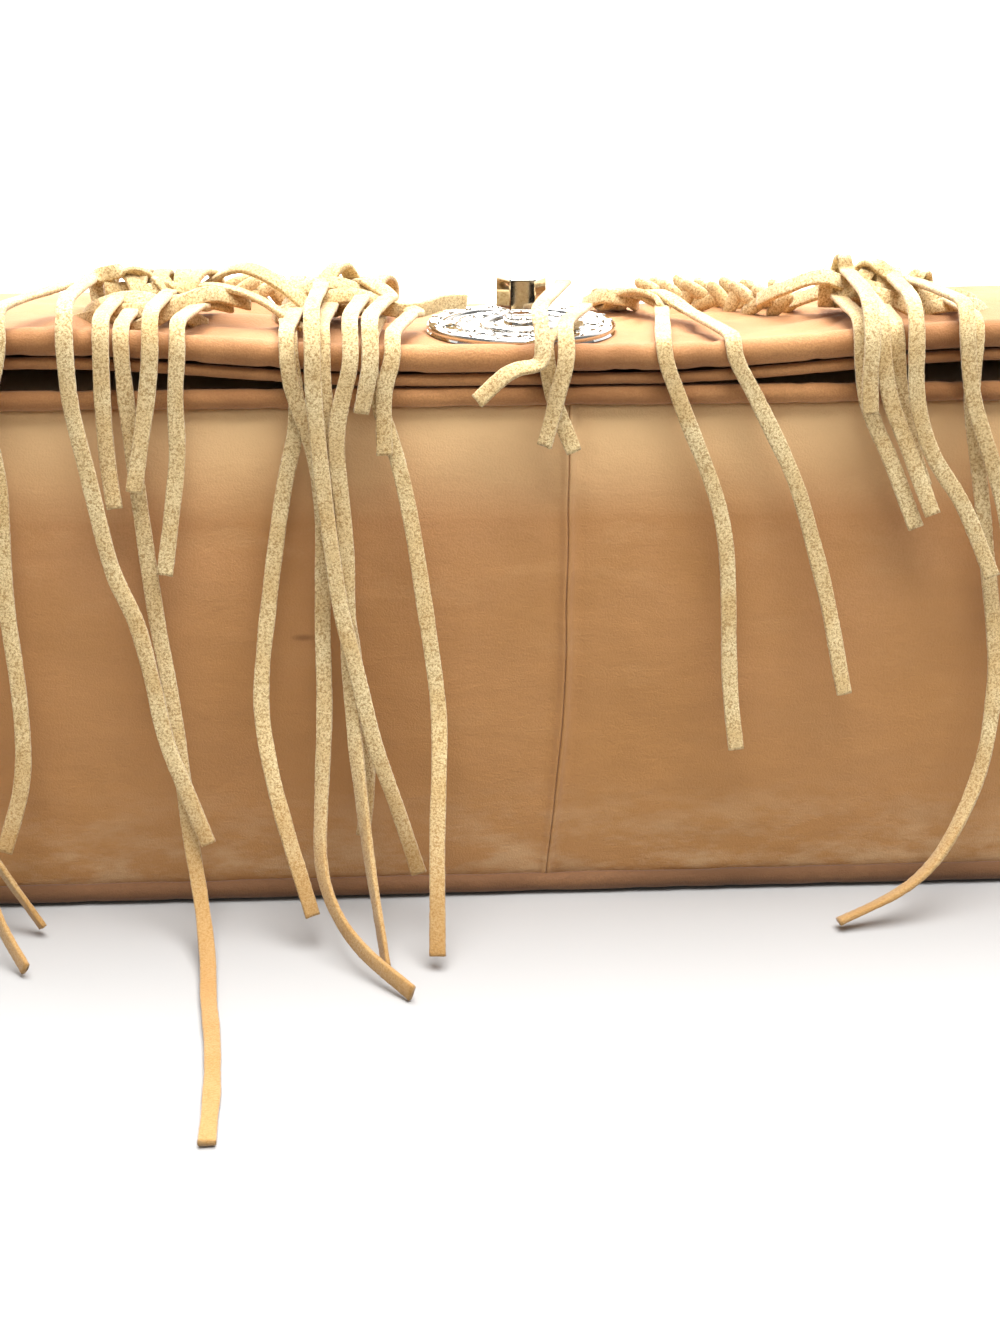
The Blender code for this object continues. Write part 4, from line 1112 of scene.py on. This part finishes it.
def make_straps():
    """The strap tabs with a row of stitches on each, softened from the CAD's own shape."""
    stitch = small_shape("stitch", (0.0005, 0.0006, 0.0023), 8, 6)
    for word, side in (("left", -1), ("right", 1)):
        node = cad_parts["strap_tab_" + word]
        work = bmesh.new()
        work.from_mesh(node.data)
        bmesh.ops.remove_doubles(work, verts=work.verts[:], dist=1e-6)
        bmesh.ops.dissolve_limit(work, angle_limit=0.02, verts=work.verts[:], edges=work.edges[:])
        data = bpy.data.meshes.new("strap_leather_" + word)
        work.to_mesh(data)
        work.free()
        data.materials.append(FINISHES["leather"])
        finished(linked("strap_leather_" + word, data), "bag", "tan_leather", "strap_tab_" + word)
        face = side * (HALF_WIDTH + GAP + 0.0021)
        path = [Vector((face, y, z))
                for y, z in ((0.0778, 0.0200), (0.0778, 0.0078), (0.0922, 0.0078), (0.0922, 0.0200))]
        row = row_along("strap_stitches_" + word, path, stitch, FINISHES["thread"], 0.0031)
        finished(row, "bag", "tan_leather")
    bpy.data.objects.remove(stitch, do_unlink=True)


def paint_carried():
    """A procedural material on every CAD node that still shows."""
    for name in ("base_board", "lock_base", "lock_retainer", "lock_plate", "plate_backing",
                 "plate_rivet_1", "plate_rivet_2", "ring_left", "ring_right"):
        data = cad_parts[name].data
        data.materials.clear()
        data.materials.append(FINISHES["board" if name == "base_board" else "steel"])


def flat_card(name, low, high, colour, glow=0.0):
    """A card from its low to its high corner, with a faintly uneven surface."""
    made, tree, shader, place = new_material(
        name + "_board", Roughness=1.0, Specular_IOR_Level=0.0, Emission_Color=linear("#FFFFFF"),
        Emission_Strength=glow)
    uneven = ranged(tree, noise_at(tree, place, 0.15, 3), 0.3, 0.7, 0, 0.03)
    tree.links.new(mixed(tree, uneven, colour, "#8A8680"), shader.inputs["Base Color"])
    data = bpy.data.meshes.new(name)
    corners = [low, (high[0], low[1], low[2]), high, (low[0], high[1], high[2])]
    data.from_pydata(corners, [], [(0, 1, 2, 3)])
    data.materials.append(made)
    linked(name, data)


def area_light(name, place, target, size, power, colour):
    data = bpy.data.lights.new(name, "AREA")
    data.shape = "RECTANGLE"
    data.size, data.size_y = size
    data.energy = power
    data.color = linear(colour)[:3]
    lamp = linked(name, data)
    lamp.location = place
    lamp.rotation_euler = (Vector(target) - Vector(place)).to_track_quat("-Z", "Y").to_euler()


def make_stage(options):
    """White table, soft top light, low front fill, a dark far side of the room and the camera."""
    flat_card("white_table", (-2.0, -0.42, -0.0002), (2.0, 0.62, -0.0002), "#AAA9A8")
    flat_card("white_wall", (-3.0, 0.62, -0.0002), (3.0, 0.6201, 2.0), "#FFFFFF", 1.0)
    flat_card("dark_room", (-2.0, -2.6, -0.02), (2.0, -0.44, -0.02), "#100D0B")
    flat_card("dark_wall", (-2.0, -2.6, -0.02), (2.0, -2.5999, 0.40), "#100D0B")
    area_light("top_softbox", (0.05, -0.04, 1.05), (0, -0.05, 0.05), (1.5, 0.8), options.top_power, "#FFFFFF")
    area_light("front_fill", (-0.35, -1.15, 0.85), (0, -0.10, 0.06), (1.1, 0.7), options.fill_power,
               "#FFF6EA")
    world = bpy.data.worlds.new("white_room")
    world.use_nodes = True
    back = world.node_tree.nodes["Background"]
    back.inputs["Color"].default_value = linear("#FFFFFF")
    back.inputs["Strength"].default_value = options.room_light
    bpy.context.scene.world = world
    bpy.context.scene.view_settings.view_transform = "Standard"
    data = bpy.data.cameras.new("camera")
    data.lens = CAMERA_LENS
    camera = linked("camera", data)
    yaw, pitch, roll_angle = (math.radians(v) for v in CAMERA_TURNS)
    ahead = Vector((math.sin(yaw) * math.cos(pitch), math.cos(yaw) * math.cos(pitch), -math.sin(pitch)))
    level = Vector((math.cos(yaw), -math.sin(yaw), 0))
    upright = level.cross(ahead)
    right = level * math.cos(roll_angle) + upright * math.sin(roll_angle)
    up = upright * math.cos(roll_angle) - level * math.sin(roll_angle)
    rows = [(right[i], up[i], -ahead[i], CAMERA_PLACE[i]) for i in range(3)]
    camera.matrix_world = Matrix((*rows, (0, 0, 0, 1)))
    bpy.context.scene.camera = camera


class BagOptions(bpy.types.PropertyGroup):
    """What a user may change."""

    leather_colour: bpy.props.StringProperty(
        name="Leather colour", description="Main colour of the leather, as sRGB hex", default="#C39060")
    lace_colour: bpy.props.StringProperty(
        name="Lace colour", description="Main colour of the suede laces, as sRGB hex", default="#D9BD88")
    top_power: bpy.props.FloatProperty(
        name="Top light", description="Power of the overhead softbox", default=48.0, min=0.0, unit="POWER")
    fill_power: bpy.props.FloatProperty(
        name="Fill light", description="Power of the front light", default=1.4, min=0.0, unit="POWER")
    room_light: bpy.props.FloatProperty(
        name="Room light", description="Strength of the white surroundings", default=0.28, min=0.0)


def operator(key, label, note, job, takes_options=False):
    """One operator class for one group of pieces."""
    def execute(self, context):
        job(*[context.scene.bag_options] * takes_options)
        return {"FINISHED"}

    return type("BAG_OT_" + key, (bpy.types.Operator,), {
        "bl_idname": "bag." + key, "bl_label": label, "__doc__": note, "execute": execute})


STEPS = [
    operator("finishes", "Materials", "Make every material.", make_finishes, True),
    operator("stage", "Stage", "Set the table, the lights and the camera.", make_stage, True),
    operator("laces", "Laces", "Hang the free laces.", make_laces),
    operator("knots", "Knots", "Tie the knots and their arcs.", make_knots),
    operator("braids", "Braids", "Plait the two bars.", make_braids),
    operator("shell", "Shell", "Make the leather panels.", make_shell),
    operator("rolls", "Rolled edges", "Make the welts, the rolled edge and its piping.", make_rolls),
    operator("flap", "Flap", "Make the flap's leather and lining.", make_flap),
    operator("lining", "Lining", "Make the cloth sack inside.", make_lining),
    operator("lock", "Lock", "Make the plate's relief and the knob.", make_lock),
    operator("straps", "Strap tabs", "Make the strap tabs and their stitches.", make_straps),
    operator("carried", "CAD pieces", "Give the CAD's own pieces their materials.", paint_carried),
]


class BAG_PT_panel(bpy.types.Panel):
    """The bag's settings and steps."""

    bl_label = "Fringed suede bag"
    bl_idname = "BAG_PT_panel"
    bl_space_type = "VIEW_3D"
    bl_region_type = "UI"
    bl_category = "Bag"

    def draw(self, context):
        for key in BagOptions.__annotations__:
            self.layout.prop(context.scene.bag_options, key)
        for step in STEPS:
            self.layout.operator(step.bl_idname)


CLASSES = (BagOptions, *STEPS, BAG_PT_panel)


def register():
    for entry in CLASSES:
        bpy.utils.register_class(entry)
    bpy.types.Scene.bag_options = bpy.props.PointerProperty(type=BagOptions)


def unregister():
    del bpy.types.Scene.bag_options
    for entry in reversed(CLASSES):
        bpy.utils.unregister_class(entry)


def main():
    register()
    for step in STEPS:
        family, key = step.bl_idname.split(".")
        getattr(getattr(bpy.ops, family), key)()
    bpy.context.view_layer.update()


if __name__ == "__main__":
    main()
